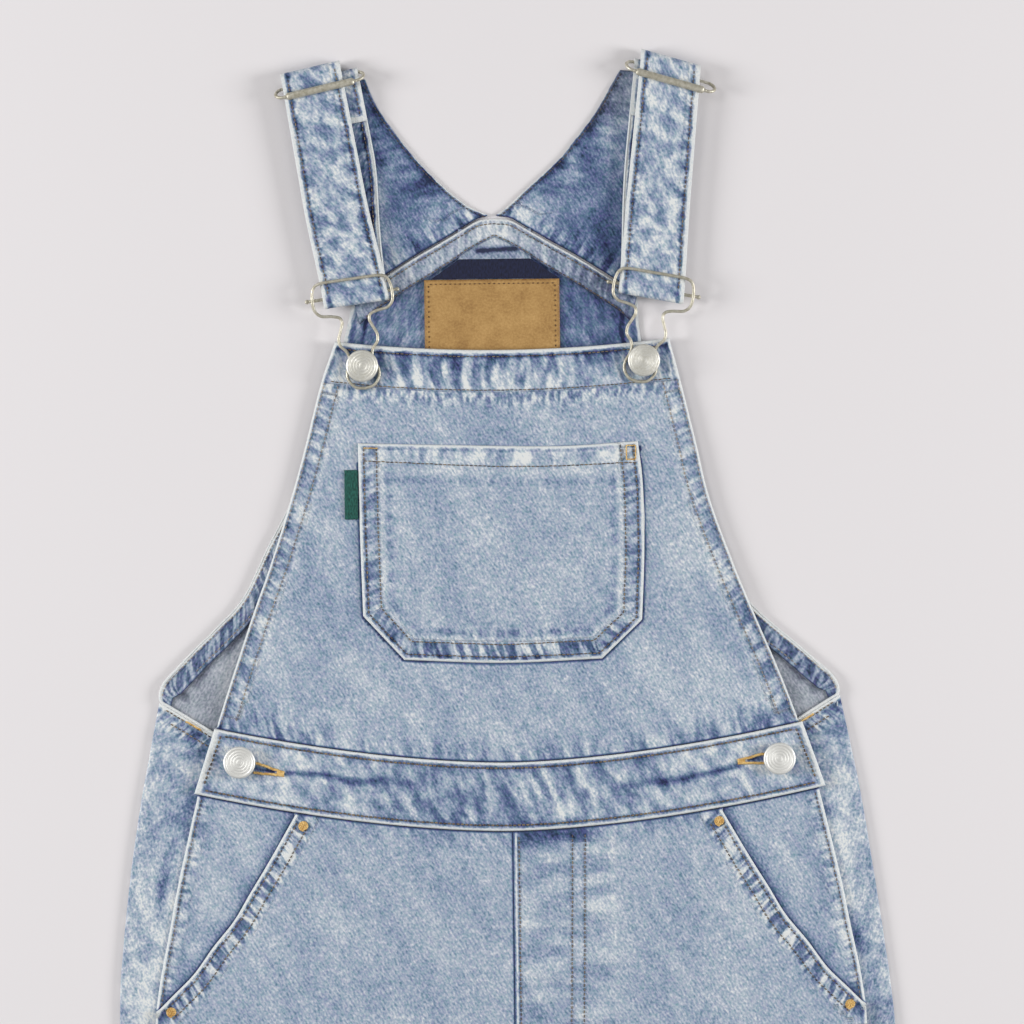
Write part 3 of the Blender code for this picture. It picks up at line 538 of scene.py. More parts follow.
def metalMaterial(name, dark, pale, rough):
    # Plated metal: cloudy between two colours, the darker places rougher.
    material, tree, shader = newMaterial(name, rough)
    place = placeOf(tree)
    patches = noiseOf(tree, place, 420, 3.0, 0.6)
    tree.links.new(rampOf(tree, patches, ((0.3, dark), (0.7, pale))), shader.inputs["Base Color"])
    tree.links.new(ranged(tree, patches, 0.3, 0.7, rough + 0.12, rough), shader.inputs["Roughness"])
    shader.inputs["Metallic"].default_value = 0.7
    bumpInto(tree, shader, noiseOf(tree, place, 2600), 0.15, 0.0001)
    return material


nickel = metalMaterial("nickel", (211, 208, 196), (238, 236, 228), 0.38)
paleNickel = metalMaterial("paleNickel", (232, 231, 226), (246, 245, 240), 0.42)
agedNickel = metalMaterial("agedNickel", (172, 166, 146), (218, 213, 198), 0.4)


def leatherMaterial():
    # Tan leather: cloudy, darker at the edge, with a grain of small cells.
    material, tree, shader = newMaterial("tanLeather", 0.62)
    place = placeOf(tree)
    cells = tree.nodes.new("ShaderNodeTexVoronoi")
    cells.inputs["Scale"].default_value = 1100
    tree.links.new(place, cells.inputs["Vector"])
    cloud, fine = noiseOf(tree, place, 60, 4.0, 0.65), noiseOf(tree, place, 700, 3.0, 0.6)
    value = sums(tree, "MULTIPLY_ADD", fine, 0.45, sums(tree, "MULTIPLY", cloud, 0.6))
    value = sums(tree, "ADD", value, ranged(tree, attributeOf(tree, "edge"), 0.2, 2.2, -0.16, 0.0))
    colour = rampOf(tree, value, ((0.25, (130, 90, 42)), (0.5, (172, 133, 76)), (0.75, (200, 160, 100))))
    tree.links.new(colour, shader.inputs["Base Color"])
    bumpInto(tree, shader, sums(tree, "MULTIPLY_ADD", cells.outputs["Distance"], 0.5, fine), 0.35, 0.0003)
    return material


tanLeather = leatherMaterial()


def wovenMaterial(name, dark, pale, scale):
    # Woven tape: narrow ribs between two colours.
    material, tree, shader = newMaterial(name, 0.85)
    ribs = noiseOf(tree, mappedBy(tree, uvOf(tree, "grain"), scale=(scale, scale * 0.3, 1)), 1.0)
    tree.links.new(rampOf(tree, ribs, ((0.35, dark), (0.65, pale))), shader.inputs["Base Color"])
    bumpInto(tree, shader, ribs, 0.5, 0.0003)
    return material


navyTape = wovenMaterial("navyTape", (8, 12, 38), (24, 31, 64), 1400)
greenWeave = wovenMaterial("greenWeave", (6, 56, 50), (34, 98, 86), 1500)

floorMaterial, floorTree, floorShader = newMaterial("paleFloor", 0.95)
floorStops = ((0.2, studio["floor"]), (0.8, tuple(part + 1 for part in studio["floor"])))
floorTree.links.new(rampOf(floorTree, noiseOf(floorTree, placeOf(floorTree), 3), floorStops),
                    floorShader.inputs["Base Color"])
print("materials ready")


def keep(name, mesh, materials):
    # Object at the origin for a mesh, smooth, with its materials.
    for material in materials:
        mesh.materials.append(material)
    mesh.shade_smooth()
    piece = bpy.data.objects.new(name, mesh)
    bpy.context.scene.collection.objects.link(piece)
    return piece


def meshOf(name, points, faces):
    # Mesh in the frame's metres from points in the plan's millimetres.
    mesh = bpy.data.meshes.new(name)
    mesh.from_pydata(((points + planOffset) * mm).tolist(), [], faces)
    return mesh


def gridFaces(rows, columns, flip=False, wrapped=False):
    # Four corners of every cell of a grid, turned so that the face looks up unless flipped.
    number = np.arange(rows * columns).reshape(rows, columns)
    right = np.roll(number, -1, axis=1) if wrapped else number[:, 1:]
    here = number if wrapped else number[:, :-1]
    faces = np.stack([here[:-1], right[:-1], right[1:], here[1:]], axis=-1).reshape(-1, 4)
    return faces[:, ::-1] if flip else faces


def clothMesh(name, points, grain, look, cloth=faceCloth, shell=1.0, flip=False, mask=None):
    # One sheet from a grid of points, with its grain as a UV map and its looks as attributes.
    rows, columns = points.shape[:2]
    faces = gridFaces(rows, columns, flip)
    if mask is not None:
        faces = faces[mask.ravel()]
    used, faces = np.unique(faces, return_inverse=True)
    faces = faces.reshape(-1, 4)
    mesh = meshOf(name, points.reshape(-1, 3)[used], faces.tolist())
    for key in ("tone", "edge", "seam", "grey", "rope"):
        values = np.broadcast_to(look[key], (rows, columns)).reshape(-1)[used]
        mesh.attributes.new(key, "FLOAT", "POINT").data.foreach_set("value", values.astype(np.float32))
    sewn = np.stack(np.broadcast_arrays(look["ropeU"], look["ropeV"]), axis=-1)
    for layerName, spots in (("grain", grain * mm), ("sewn", sewn)):
        spots = spots.reshape(-1, 2)[used][faces.reshape(-1)]
        mesh.uv_layers.new(name=layerName).data.foreach_set("uv", spots.astype(np.float32).ravel())
    piece = keep(name, mesh, cloth)
    wall = piece.modifiers.new("wall", "SOLIDIFY")
    wall.thickness, wall.offset = shell * mm, -1
    wall.material_offset = len(cloth) - 1
    return piece


def surfaceArea(points):
    # Flat area of a grid of points: half of its cells' diagonals crossed, in square metres.
    a = points[1:, 1:] - points[:-1, :-1]
    b = points[:-1, 1:] - points[1:, :-1]
    return float(np.linalg.norm(np.cross(a, b), axis=-1).sum()) / 2 * 1e-6


# One stitch: four rings of five points, narrow and sunk at its ends.
spindle = {"along": (-0.5, -0.3, 0.3, 0.5), "wide": (0.35, 1.0, 1.0, 0.35),
           "sink": (-0.48, 0.08, 0.08, -0.48)}


def stitchMesh(name, rows, thread, pitch=2.7, long=2.05, thick=0.4, down=False, wander=0.12):
    # Rows of spindles: rings along each stitch, at the row's direction, wandering a little sideways.
    along, wide, sink = (np.array(spindle[key]) * size
                         for key, size in (("along", long), ("wide", thick), ("sink", thick)))
    turn = 2 * np.pi * np.arange(5) / 5
    ring, ringPoints = gridFaces(len(along), len(turn), wrapped=True), len(along) * len(turn)
    random = np.random.RandomState(len(rows) * 7 + 3)
    allPoints, allFaces, base = [], [], 0
    for row in rows:
        row = np.asarray(row, float)
        total = lengths(row)[-1]
        count = max(int(total / pitch), 1)
        at = (np.arange(count) + 0.5) / count
        step = 0.4 / max(total, 1)
        way = unit(pointsAt(row, np.minimum(at + step, 1)) - pointsAt(row, np.maximum(at - step, 0)))
        sideways = unit(np.column_stack([leftOf(way), np.zeros(count)]))
        up = np.cross(way, sideways) * (-1 if down else 1)
        middle = pointsAt(row, at) + sideways * random.uniform(-wander, wander, (count, 1))
        points = (middle[:, None, None] + way[:, None, None] * along[:, None, None]
                  + sideways[:, None, None] * (wide[:, None] * np.cos(turn))[..., None]
                  + up[:, None, None] * (wide[:, None] * np.sin(turn) + sink[:, None])[..., None])
        allPoints.append(points.reshape(-1, 3))
        allFaces.append((ring + (base + ringPoints * np.arange(count))[:, None, None]).reshape(-1, 4))
        base += ringPoints * count
    return keep(name, meshOf(name, np.vstack(allPoints), np.vstack(allFaces).tolist()), [thread])


def onSurface(curve, surface, lift=0.3):
    # Plan curve laid on a piece's surface, a thread's thickness above it.
    curve = np.asarray(curve, float)
    count = max(int(lengths(curve)[-1] / 1.2), 4)
    curve = pointsAt(curve, np.linspace(0, 1, count + 1))
    return np.column_stack([curve, surface(curve[:, 0], curve[:, 1])["z"] + lift])


def levelAt(height):
    # Surface at one height everywhere.
    def surface(x, y):
        # The same height wherever it is asked for.
        return {"z": np.full(np.shape(x), height)}
    return surface


def roundTacks(name, places, radius, surface, winding=0.8):
    # Round bar tacks: a close spiral of thread, wound outwards from the middle of each.
    turns = np.linspace(0.4, 2 * np.pi * radius / winding, 90)
    spiral = np.stack([np.cos(turns), np.sin(turns)], axis=1) * (turns * winding / (2 * np.pi))[:, None]
    rows = [atHeight(spiral + place, float(surface(*np.array(place, float))["z"]) + 0.35)
            for place in places]
    return stitchMesh(name, rows, mustardThread, pitch=1.5, long=1.9, thick=0.55, wander=0.05)


def raised(plan, look):
    # Plan grid at its look's heights.
    return np.dstack([plan, look["z"]])


def finishSheet(name, points, grain, look, nodes, extras=(), cloth=faceCloth,
                shell=1.0, flip=False, mask=None, flat=None):
    # Make a sheet, attach it and the pieces sewn on it to the root body, hide the solids it stands for, and
    # print its flat size and area.
    piece = clothMesh(name, points, grain, look, cloth, shell, flip, mask)
    if flat is None:
        flat = tuple(float(side) for side in np.ptp(grain.reshape(-1, 2), axis=0) * mm)
    area = min(surfaceArea(points), flat[0] * flat[1])
    for part in (piece, *extras):
        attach(part, "root")
    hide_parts(*nodes)
    print(name, "flat", [round(side, 4) for side in flat], "area", round(area, 5), "cells", points.shape[:2])


# Direction of x, ending of a name in the scene, ending of a node.
handed = ((-1, "Left", "left"), (1, "Right", "right"))

front = {
    "base": ((-1045, 3.0), (-230, 3.0), (-170, 4.5), (10, 4.5), (60, 3.3), (270, 3.3)),
    "width": ((-1045, 240, 156, 84), (-600, 235, 131, 99), (-315, 228, 113, 112), (-150, 220, 110, 110),
              (-15, 197, 98, 98), (25, 182, 91, 91), (263, 106, 53, 53)),
    "crown": 2.0, "wall": 1.2, "layer": 1.5, "centre": 2.3, "crotch": -315,
    "waistTop": (1.8, 23.2, 182), "waistFoot": (-40.7, 25.7, 196), "waistBow": 1.7,
}
# Creases of the front, as x, y to x, y, half width, height.
frontCreases = (
    (-150, 30, -20, 8, 9, 0.7), (40, 12, 150, 34, 8, 0.6), (-120, 70, -60, 40, 12, 0.5),
    (-60, -160, 0, -330, 13, -1.1), (70, -170, 10, -330, 13, -1.1), (-170, -200, -40, -290, 12, 0.9),
    (180, -190, 60, -280, 12, 0.9), (-200, -330, -90, -360, 11, 0.8), (200, -320, 100, -365, 11, 0.8),
    (-150, -420, -120, -640, 16, -0.8), (140, -400, 170, -650, 16, -0.9), (-190, -640, -80, -690, 12, 1.0),
    (190, -660, 80, -620, 12, 1.0), (-180, -720, -95, -700, 10, 0.9), (170, -735, 100, -760, 11, 0.9),
    (-110, -780, -140, -980, 15, -0.8), (130, -800, 150, -1000, 15, -0.8), (-215, -900, -130, -930, 12, 0.7),
    (210, -880, 140, -920, 12, 0.7),
)
# Puckered hem: where it starts and ends, how softly, its slant, the steps of its relief and of its pattern.
plainHem = {"from": 1, "to": 7, "fade": 3, "slant": 0.3, "pitch": 6, "seed": 0, "fine": 3.0, "strength": 0.3}


def bowed(edge, x):
    # y of an edge that rises from its middle to its ends as a power of x.
    lowest, rise, half = edge
    return lowest + rise * (np.abs(x) / half) ** front["waistBow"]


def bowedEdge(edge, start, end, lift=0.0):
    # The same edge as a curve between two places across.
    x = np.linspace(start, end, 121)
    return np.stack([x, bowed(edge, x) + lift], axis=1)


def belowWaist(x, y):
    # Distance down from the waistband's lower seam.
    return bowed(front["waistFoot"], x) - 0.3 - y


def frontHeight(x, y):
    # Underside of the front layer: a base that changes up the body, with a crown on body and legs.
    half, legMiddle, legHalf = (columnAt(front["width"], y, index) for index in (1, 2, 3))
    body = np.clip(np.abs(x) / half, 0, 1)
    leg = np.clip(np.abs(np.abs(x) - legMiddle) / legHalf, 0, 1)
    inLeg = smoothStep((-60 - y) / 260)
    crown = (1 - inLeg) * (1 - body**2) ** 2 + inLeg * (1 - leg**2) ** 2
    return columnAt(front["base"], y) + front["crown"] * crown


def frontRelief(x, y):
    # Common unevenness of every front layer: broad waves and the placed creases.
    broad = 0.5 * softNoise(x / 70, y / 90, 11) + 0.22 * softNoise(x / 24, y / 34, 12)
    return broad + creased(x, y, frontCreases)


def frontTop(x, y, lift):
    # Upper face of a front layer: underside, lift, wall and relief.
    return frontHeight(x, y) + lift + front["wall"] + frontRelief(x, y)


def frontTone(x, y):
    # Paler on the creases, with a soft cloud.
    return 0.05 * creased(x, y, frontCreases) + 0.035 * softNoise(x / 30, y / 45, 13)


def mirrored(plan, side):
    # Right-hand grid, turned over for the left so that its columns still run to the right.
    return plan if side > 0 else plan[:, ::-1] * (-1, 1)


waistTopEdge = bowedEdge(front["waistTop"], -181.5, 182.5)
waistFootEdge = bowedEdge(front["waistFoot"], -194.5, 196.5)

bib = {
    "side": ((26.5, 180, 180), (57, 170, 168.5), (95, 157, 152.5), (125, 146, 140.5), (165, 133, 126.5),
             (198, 123.5, 119), (238, 113, 109.5), (263, 104, 103)),
    "topMiddle": 257.3, "topRise": 6.2, "bandMiddle": 231, "bandRise": 7.2, "step": 1.75, "bandStep": 1.5,
    "hem": {**plainHem, "to": 11, "slant": 0.25, "seed": 21, "fine": 3.9, "strength": 0.32},
    "stitchAt": (2.3, 11.8),
}
bibSide = np.asarray(bib["side"], float)
bibLeft = spline(bibSide[:, [1, 0]] * (-1, 1))
bibRight = spline(bibSide[:, [2, 0]])


def bandEdge(which, x):
    # y of the band's top or foot: its middle, and a rise as the square of x.
    middle, rise, half = {"top": (bib["topMiddle"], bib["topRise"], 103),
                          "foot": (bib["bandMiddle"], bib["bandRise"], 111)}[which]
    return middle + rise * (x / half) ** 2


def bandCurve(which, left, right):
    # The same edge as a curve between two places across.
    x = np.linspace(left, right, 81)
    return np.stack([x, bandEdge(which, x)], axis=1)


bibTopEdge = bandCurve("top", -104, 103)
bandFootEdge = bandCurve("foot", -112.7, 109.3)

pocket = {
    "left": ((-63.3, 66), (-88.6, 93.4), (-90, 148), (-90.6, 200.6)),
    "right": ((59, 65.4), (84.1, 89.2), (86, 132), (85.6, 172), (82.8, 199.9)),
    "foot": ((-63.3, 66), (-1.7, 63.4), (59, 65.4)),
    "mouth": ((-90.6, 200.6), (-33.6, 198.8), (33.7, 197.4), (82.8, 199.9)),
    "hem": {**plainHem, "to": 10, "fade": 5, "seed": 31, "fine": 3.9},
    "mouthHem": {**plainHem, "to": 12, "slant": 0.2, "pitch": 7, "seed": 33},
    "stitchAt": (3.5, 11.3), "mouthStitch": ((-87.4, 189.5), (6.6, 184.9), (82, 186.7)), "step": 1.3,
    "tackBox": ((75.6, 197.2), (81.2, 197.2), (81.2, 188.6), (75.6, 188.6), (75.6, 197.2)),
    "tackLine": ((-87, 197.6), (-78.5, 197.2)),
}
pocketLeft, pocketRight = np.array(pocket["left"], float), np.array(pocket["right"], float)
pocketFoot, pocketMouth = spline(pocket["foot"]), spline(pocket["mouth"])
pocketRing = joined(pocketMouth[::-1], pocketLeft[::-1], pocketFoot, pocketRight)
pocketSew = joined(pocketLeft[::-1], pocketFoot, pocketRight)


def insidePocket(x, y):
    # True where the patch pocket lies over the bib.
    return (y > 64.5) & (y < 196.5) & (np.abs(x + 2) < np.interp(y, (64, 92), (61, 87)))


def bibSurface(x, y):
    # Bib cloth: hems roped along both sides, puckers over the waist seam, a soft print of the pocket,
    # painted shadow round the pocket and painted shade along the waist seam.
    look = plainLook(x)
    leftGap, leftAlong = nearest(x, y, bibLeft)
    rightGap, rightAlong = nearest(x, y, bibRight)
    side = np.minimum(leftGap, rightGap)
    along = np.where(leftGap < rightGap, leftAlong, rightAlong + 500)
    rope = roping(side, along, bib["hem"])
    waistGap = y - bowed(front["waistTop"], x) - 0.3
    gather = bell(waistGap, 15) * streaks(x, y, 14, 22, 5.5, 22)
    look["z"] = frontTop(x, y, 0) + rolledEdge(side) + 0.25 * rope + 0.4 * gather
    look["z"] -= 0.35 * bell(side - 11.3, 1.2)
    look["edge"] = side * 1.3
    ringGap, ringAlong = nearest(x, y, pocketRing)
    pocketPrint = bell(ringGap, 7) * (0.4 * softNoise(ringAlong / 9, ringGap / 12, 25) - 0.25)
    wash = streaks(x, y, 30, 26, 7, 23) * 0.045 + streaks(x, y, 30, 60, 22, 24) * 0.035
    look["tone"] = frontTone(x, y) + 0.06 * rope + 0.12 * gather - 0.08 * bell(waistGap, 16) + wash
    look["tone"] += 0.09 * pocketPrint - 0.1 * bell(side - 4.2, 1.6) + 0.08 * bell(side - 13.4, 1.5)
    look["tone"] -= 0.16 * bell(np.abs(x) - 165, 26) * bell(waistGap, 12)
    # Painted shadow round the pocket's sides and foot, lighter along its mouth, and painted shade along the
    # waist seam.
    pocketShadow = np.where(insidePocket(x, y), 0.2, ringGap * 0.8 + np.where(y > 190, 1.2, 0.2))
    look["seam"] = np.minimum(np.maximum(waistGap, 0) + 0.35, pocketShadow)
    hemRopes(look, side, along, bib["hem"])
    corner = rising(np.abs(x), 90, 60)
    leaningRopes(look, (0.26 + 0.2 * corner) * bell(waistGap, 10 + 6 * corner), x, y, 12, 4.4, 16)
    leaningRopes(look, 0.5 * bell(bandEdge("foot", x) - y - 3, 6), x, y, -4, 3.4, 9)
    return look


def makeBib():
    # Bib between the waist seam, its two sides and its top, with two stitch rows down each side.
    foot = bowedEdge(front["waistTop"], -180, 180, 0.3)
    left, right = bibLeft.copy(), bibRight.copy()
    left[0], right[0] = foot[0], foot[-1]
    left[-1], right[-1] = bibTopEdge[0], bibTopEdge[-1]
    u, v = steps(300, bib["step"]), steps(245, bib["step"], True, False)
    plan = patchPlan(foot, right, bibTopEdge, left, u, v)
    look = bibSurface(plan[..., 0], plan[..., 1])
    rows = [onSurface(row[row[:, 1] < bib["topMiddle"] - 4], bibSurface) for gap in bib["stitchAt"]
            for row in (bibLeft + (gap, 0.22 * gap), bibRight + (-gap, 0.22 * gap))]
    stitches = stitchMesh("bibStitches", rows, paleThread, thick=0.32)
    finishSheet("bibSheet", raised(plan, look), plan, look, ["bib_panel"], [stitches])


def bandSurface(x, y):
    # Turned top of the bib: upright puckers from edge to edge, both edges worn pale.
    look = plainLook(x)
    topGap, lowGap = bandEdge("top", x) - y, y - bandEdge("foot", x)
    sideGap = np.minimum(*(nearest(x, y, edge)[0] for edge in (bibLeft, bibRight)))
    pucker = streaks(x, y, 8, 40, 5.2, 41) * 0.7 + streaks(x, y, -10, 14, 3.6, 42) * 0.5
    middle = smoothStep(topGap / 5) * smoothStep(lowGap / 4)
    look["z"] = frontTop(x, y, front["layer"]) + rolledEdge(np.minimum(topGap, sideGap))
    look["z"] += 0.4 * pucker * middle
    look["z"] -= 1.1 * (1 - smoothStep(lowGap / 2.2))
    look["edge"] = np.minimum(topGap * 0.68, sideGap)
    look["tone"] = 0.1 * pucker * middle - 0.3 * bell(topGap - 4.3, 0.9)
    look["tone"] += middle * (0.05 - 0.19 * smoothStep(lowGap / 22)) - 0.1 * bell(lowGap, 1.3)
    uneven = 0.75 + 0.6 * softNoise(x / 22, y / 30, 43)
    leaningRopes(look, 0.44 * middle * uneven + 0.06, x + 1.5 * np.sin(y / 6 + x / 26), y, 6, 6.2, 30)
    return look


def makeBand():
    # Band between its foot and the bib's top, stitched along both.
    left, right = (np.stack([bandFootEdge[end], bibTopEdge[end]]) for end in (0, -1))
    u, v = (steps(length, bib["bandStep"]) for length in (216, 26))
    plan = patchPlan(bandFootEdge, right, bibTopEdge, left, u, v)
    look = bandSurface(plan[..., 0], plan[..., 1])
    rows = [onSurface(row[2:-2], bandSurface) for row in (bibTopEdge - (0, 4.2), bandFootEdge + (0, 1.3))]
    stitches = stitchMesh("bandStitches", rows, oliveThread, thick=0.34)
    finishSheet("topBandSheet", raised(plan, look), plan, look, ["bib_top_band"], [stitches],
                wornCloth)


def pocketSurface(x, y):
    # Patch pocket: roped double-stitched sides and foot, a turned mouth, a plain middle.
    look = plainLook(x)
    sewGap, along = nearest(x, y, pocketSew)
    mouthGap = nearest(x, y, pocketMouth)[0]
    gap = np.minimum(sewGap, mouthGap)
    rope = roping(sewGap, along, pocket["hem"])
    mouthRope = roping(mouthGap, x + 200, pocket["mouthHem"])
    footPull = smoothStep((96 - y) / 26)
    pulled = footPull * bell(sewGap - 19, 6)
    drawn = bell(sewGap - 3.7, 1.1) + 0.7 * bell(sewGap - 10.3, 1.2)
    look["z"] = frontTop(x, y, front["layer"]) + rolledEdge(gap) + rope * (0.3 + 0.35 * footPull)
    look["z"] += 0.3 * mouthRope + 0.5 * rising(gap, 12, 30) - 0.25 * drawn
    look["z"] += 0.3 * pulled * streaks(x, y, 0, 12, 4, 37)
    look["edge"] = gap
    wash = streaks(x, y, 30, 26, 7, 34) * 0.045 + streaks(x, y, 30, 50, 20, 35) * 0.03
    look["tone"] = wash + rope * (0.07 + 0.07 * footPull) + 0.05 * mouthRope - 0.1 * drawn - 0.04 * footPull
    # The sides: dark between the rows, pale inside them, then a broken dark line.
    blocks = smoothStep(0.55 + 1.6 * softNoise(along / 4.2, sewGap / 9, 36))
    look["tone"] += 0.13 * bell(sewGap - 14.2, 1.5) - 0.09 * bell(sewGap - 6.5, 4)
    look["tone"] -= 0.2 * blocks * bell(sewGap - 18.6, 2.1) * rising(mouthGap, 10, 4)
    # The mouth: a pale hem, with a pale line and a dotted dark one below it.
    dotted = 0.5 + 0.5 * np.sin(x / 1.1) * np.sin(x / 6.3)
    look["tone"] += 0.09 * (1 - rising(mouthGap, 11, 2)) + 0.09 * bell(mouthGap - 16, 2.6)
    look["tone"] -= 0.17 * dotted * bell(mouthGap - 22.5, 1.9)
    leaningRopes(look, 0.42 * pulled, x, y, 0, 3.4, 13)
    hemRopes(look, sewGap, along, {**pocket["hem"], "strength": 0.3 + 0.2 * footPull})
    addRopes(look, 0.38 * bell(mouthGap - 6, 6) * rising(sewGap, 8, 4), x / 6.6, y / 22)
    return look


def pocketEdge(side):
    # One side of the pocket: the corner kept sharp, the rest rounded and evened out.
    edge = joined(side[:2], spline(side[1:]))
    return np.vstack([edge[:1], pointsAt(edge[1:], np.linspace(0, 1, 60))])


def pocketRow(gap):
    # Stitch row inside the sides and foot by the gap, cut short below the mouth.
    corner = gap * 0.42
    row = np.vstack([
        pocketLeft[:1:-1] + (gap, 0), pocketLeft[1] + (gap, corner), pocketLeft[0] + (corner, gap),
        pocketFoot[12:-12] + (0, gap), pocketRight[0] + (-corner, gap), pocketRight[1] + (-gap, corner),
        pocketRight[2:] + (-gap, 0)])
    row = pointsAt(row, np.linspace(0, 1, 400))
    return row[row[:, 1] < 198.2]


def makePocket():
    # Patch pocket between its foot, sides and mouth, double stitched, tacked at both ends of its mouth.
    plan = patchPlan(pocketFoot, pocketEdge(pocketRight), pocketMouth, pocketEdge(pocketLeft),
                     steps(168, pocket["step"]), steps(136, pocket["step"]))
    look = pocketSurface(plan[..., 0], plan[..., 1])
    rows = [*map(pocketRow, pocket["stitchAt"]), spline(pocket["mouthStitch"])]
    rows = [onSurface(row, pocketSurface) for row in rows]
    stitches = stitchMesh("pocketStitches", rows, oliveThread, thick=0.36)
    tackRows = [onSurface(pocket[key], pocketSurface, 0.5) for key in ("tackBox", "tackLine")]
    tacks = stitchMesh("pocketTacks", tackRows, mustardThread, pitch=1.1, long=1.6, thick=0.4)
    finishSheet("bibPocketSheet", raised(plan, look), plan, look, ["bib_pocket"],
                [stitches, tacks])


makeBib()
makeBand()
makePocket()
print("bib, top band and pocket made")

waistband = {
    "step": 1.5, "stitchAt": 3.6,
    "endRows": (((-188.3, -9.5), (-177.5, 20.6)), ((190.2, -9.5), (178.5, 21))),
    # Each from its button's end to its eye, and the half width of its outline at shares of the way.
    "buttonholes": (((-156.8, 0.4), (-139.5, -3.6)), ((160.3, 2.6), (143, 0.6))),
    "keyhole": ((0, 2.9), (0.3, 2.5), (0.62, 1.6), (0.8, 1.4), (1, 0.3)),
    # Dark creases inwards from the buttonholes, and the pale lines of the puckers.
    "creases": (((-138, -3.0), (-125, -3.6), (-112, -5), (-98, -8.5), (-90, -9), (-75, -8.0), (-62, -10.5),
                 (-46, -12)),
                ((143, -1.5), (130, -5), (117, -7.5), (103, -11), (88, -11.5), (70, -14))),
    "lines": (((-118, -1), (-115, -6), (-112, -10)), ((-100, -14), (-96, -21), (-93, -29)),
              ((-84, -3), (-77, -15), (-72, -28)), ((-66, -4), (-63, -12), (-60, -20)),
              ((-50, -14), (-46, -21), (-42, -29)), ((-37, -7), (-34, -15), (-31, -22)),
              ((-15, -1), (-13, -14), (-10, -28)), ((-5, -4), (3, -16), (17, -33)),
              ((11, -1), (17, -14), (30, -28)), ((22, -2), (28, -19), (35, -35)),
              ((44, -3), (50, -14), (55, -26)), ((52, -15), (58, -23), (64, -32)),
              ((59, -1), (63, -4), (68, -8)), ((73, -14), (82, -19), (86, -30)),
              ((98, -8), (101, -14), (105, -19)), ((118, -6), (121, -12), (126, -20))),
}


def waistSurface(x, y):
    # Waistband: slanting puckers, a wavy crease inwards from each buttonhole, rolled pale edges.
    look = plainLook(x)
    topGap, footGap = bowed(front["waistTop"], x) - y, y - bowed(front["waistFoot"], x)
    share = footGap / (topGap + footGap)
    endGap = np.where(x < 0, x + 194.5 - 13 * share, 196.5 - 14 * share - x)
    longGap = np.minimum(topGap, footGap)
    gap = np.minimum(longGap, endGap)
    wavy = 0
    for crease in waistband["creases"]:
        creaseGap, creaseAt = nearest(x, y, spline(crease))
        wavy = wavy + bell(creaseGap, 1.5 + 0.018 * creaseAt) * (1 - rising(creaseAt, 40, 60))
    sharp = sum(bell(nearest(x, y, spline(line))[0], 1.05) for line in waistband["lines"])
    slanted = streaks(x, y, 32, 26, 5.4, 51) * 0.75 + streaks(x, y, 24, 15, 3.4, 52) * 0.45
    inside = smoothStep(topGap / 5) * smoothStep(footGap / 5) * smoothStep(endGap / 8)
    fromButton = rising(np.abs(np.abs(x) - 166), 9, 12)
    relief = 0.5 * slanted * (0.35 + 0.65 * fromButton) - 0.6 * wavy + 0.45 * sharp
    look["z"] = frontTop(x, y, 0.9) + rolledEdge(gap) + inside * relief
    look["edge"] = np.minimum(gap, endGap * np.where(x < 0, 0.44, 0.7))
    ends = 0.06 * rising(np.abs(x), 84, 40) - 0.11 * (1 - rising(np.abs(x), 60, 40))
    look["tone"] = inside * (0.12 * slanted * (0.3 + 0.7 * fromButton) - 0.54 * wavy + 0.19 * sharp + ends)
    look["tone"] -= 0.16 * bell(longGap - 4.3, 1.5)
    uneven = np.clip(0.8 + 0.6 * softNoise(x / 34, y / 14, 53), 0.45, 1.1)
    uneven = uneven * (1 - 0.3 * rising(np.abs(x), 90, 50))
    bent = x + 1.3 * np.sin(y / 7 + x / 40)
    leaningRopes(look, 0.24 * inside * uneven * (0.35 + 0.65 * fromButton), bent, y, 24, 6.8, 22)
    # Each buttonhole's slit is painted dark, as the shade inside its opening.
    for hole in waistband["buttonholes"]:
        slotGap, slotAt = nearest(x, y, hole)
        look["tone"] -= 0.75 * bell(slotGap, 1.2) * (slotAt < 12.5)
    return look


def buttonholeRows(start, end):
    # Outline from the button's end round the eye at the far end, then five rows of tack across that end.
    start, end = np.array(start), np.array(end)
    way = unit(end - start)
    side = leftOf(way)
    upper = [start + (end - start) * at + side * half for at, half in waistband["keyhole"]]
    lower = [start + (end - start) * at - side * half for at, half in waistband["keyhole"][-2::-1]]
    tack = [end + way * step + np.outer((-1.6, 1.6), side) for step in (-3.0, -2.2, -1.4, -0.6, 0.2)]
    return [spline(np.array(upper + lower), 6), *tack]


def makeWaistband():
    # Waistband between its two bowed edges, stitched all round, with its two buttonholes.
    left, right = (np.array((waistFootEdge[end], waistTopEdge[end])) for end in (0, -1))
    plan = patchPlan(waistFootEdge, right, waistTopEdge, left,
                     steps(378, waistband["step"]), steps(41, waistband["step"]))
    look = waistSurface(plan[..., 0], plan[..., 1])
    inset = (0, waistband["stitchAt"])
    rows = [(waistTopEdge - inset)[2:-2], (waistFootEdge + inset)[2:-2], *waistband["endRows"]]
    rows = [onSurface(row, waistSurface) for row in rows]
    stitches = stitchMesh("waistbandStitches", rows, oliveThread, thick=0.58)
    holes = [onSurface(row, waistSurface, 0.4)
             for hole in waistband["buttonholes"] for row in buttonholeRows(*hole)]
    thread = stitchMesh("buttonholeThreads", holes, mustardThread, pitch=0.9, long=1.7, thick=0.86)
    finishSheet("waistbandSheet", raised(plan, look), plan, look, ["waistband"],
                [stitches, thread], wornCloth, shell=2.0)


makeWaistband()
print("waistband made")

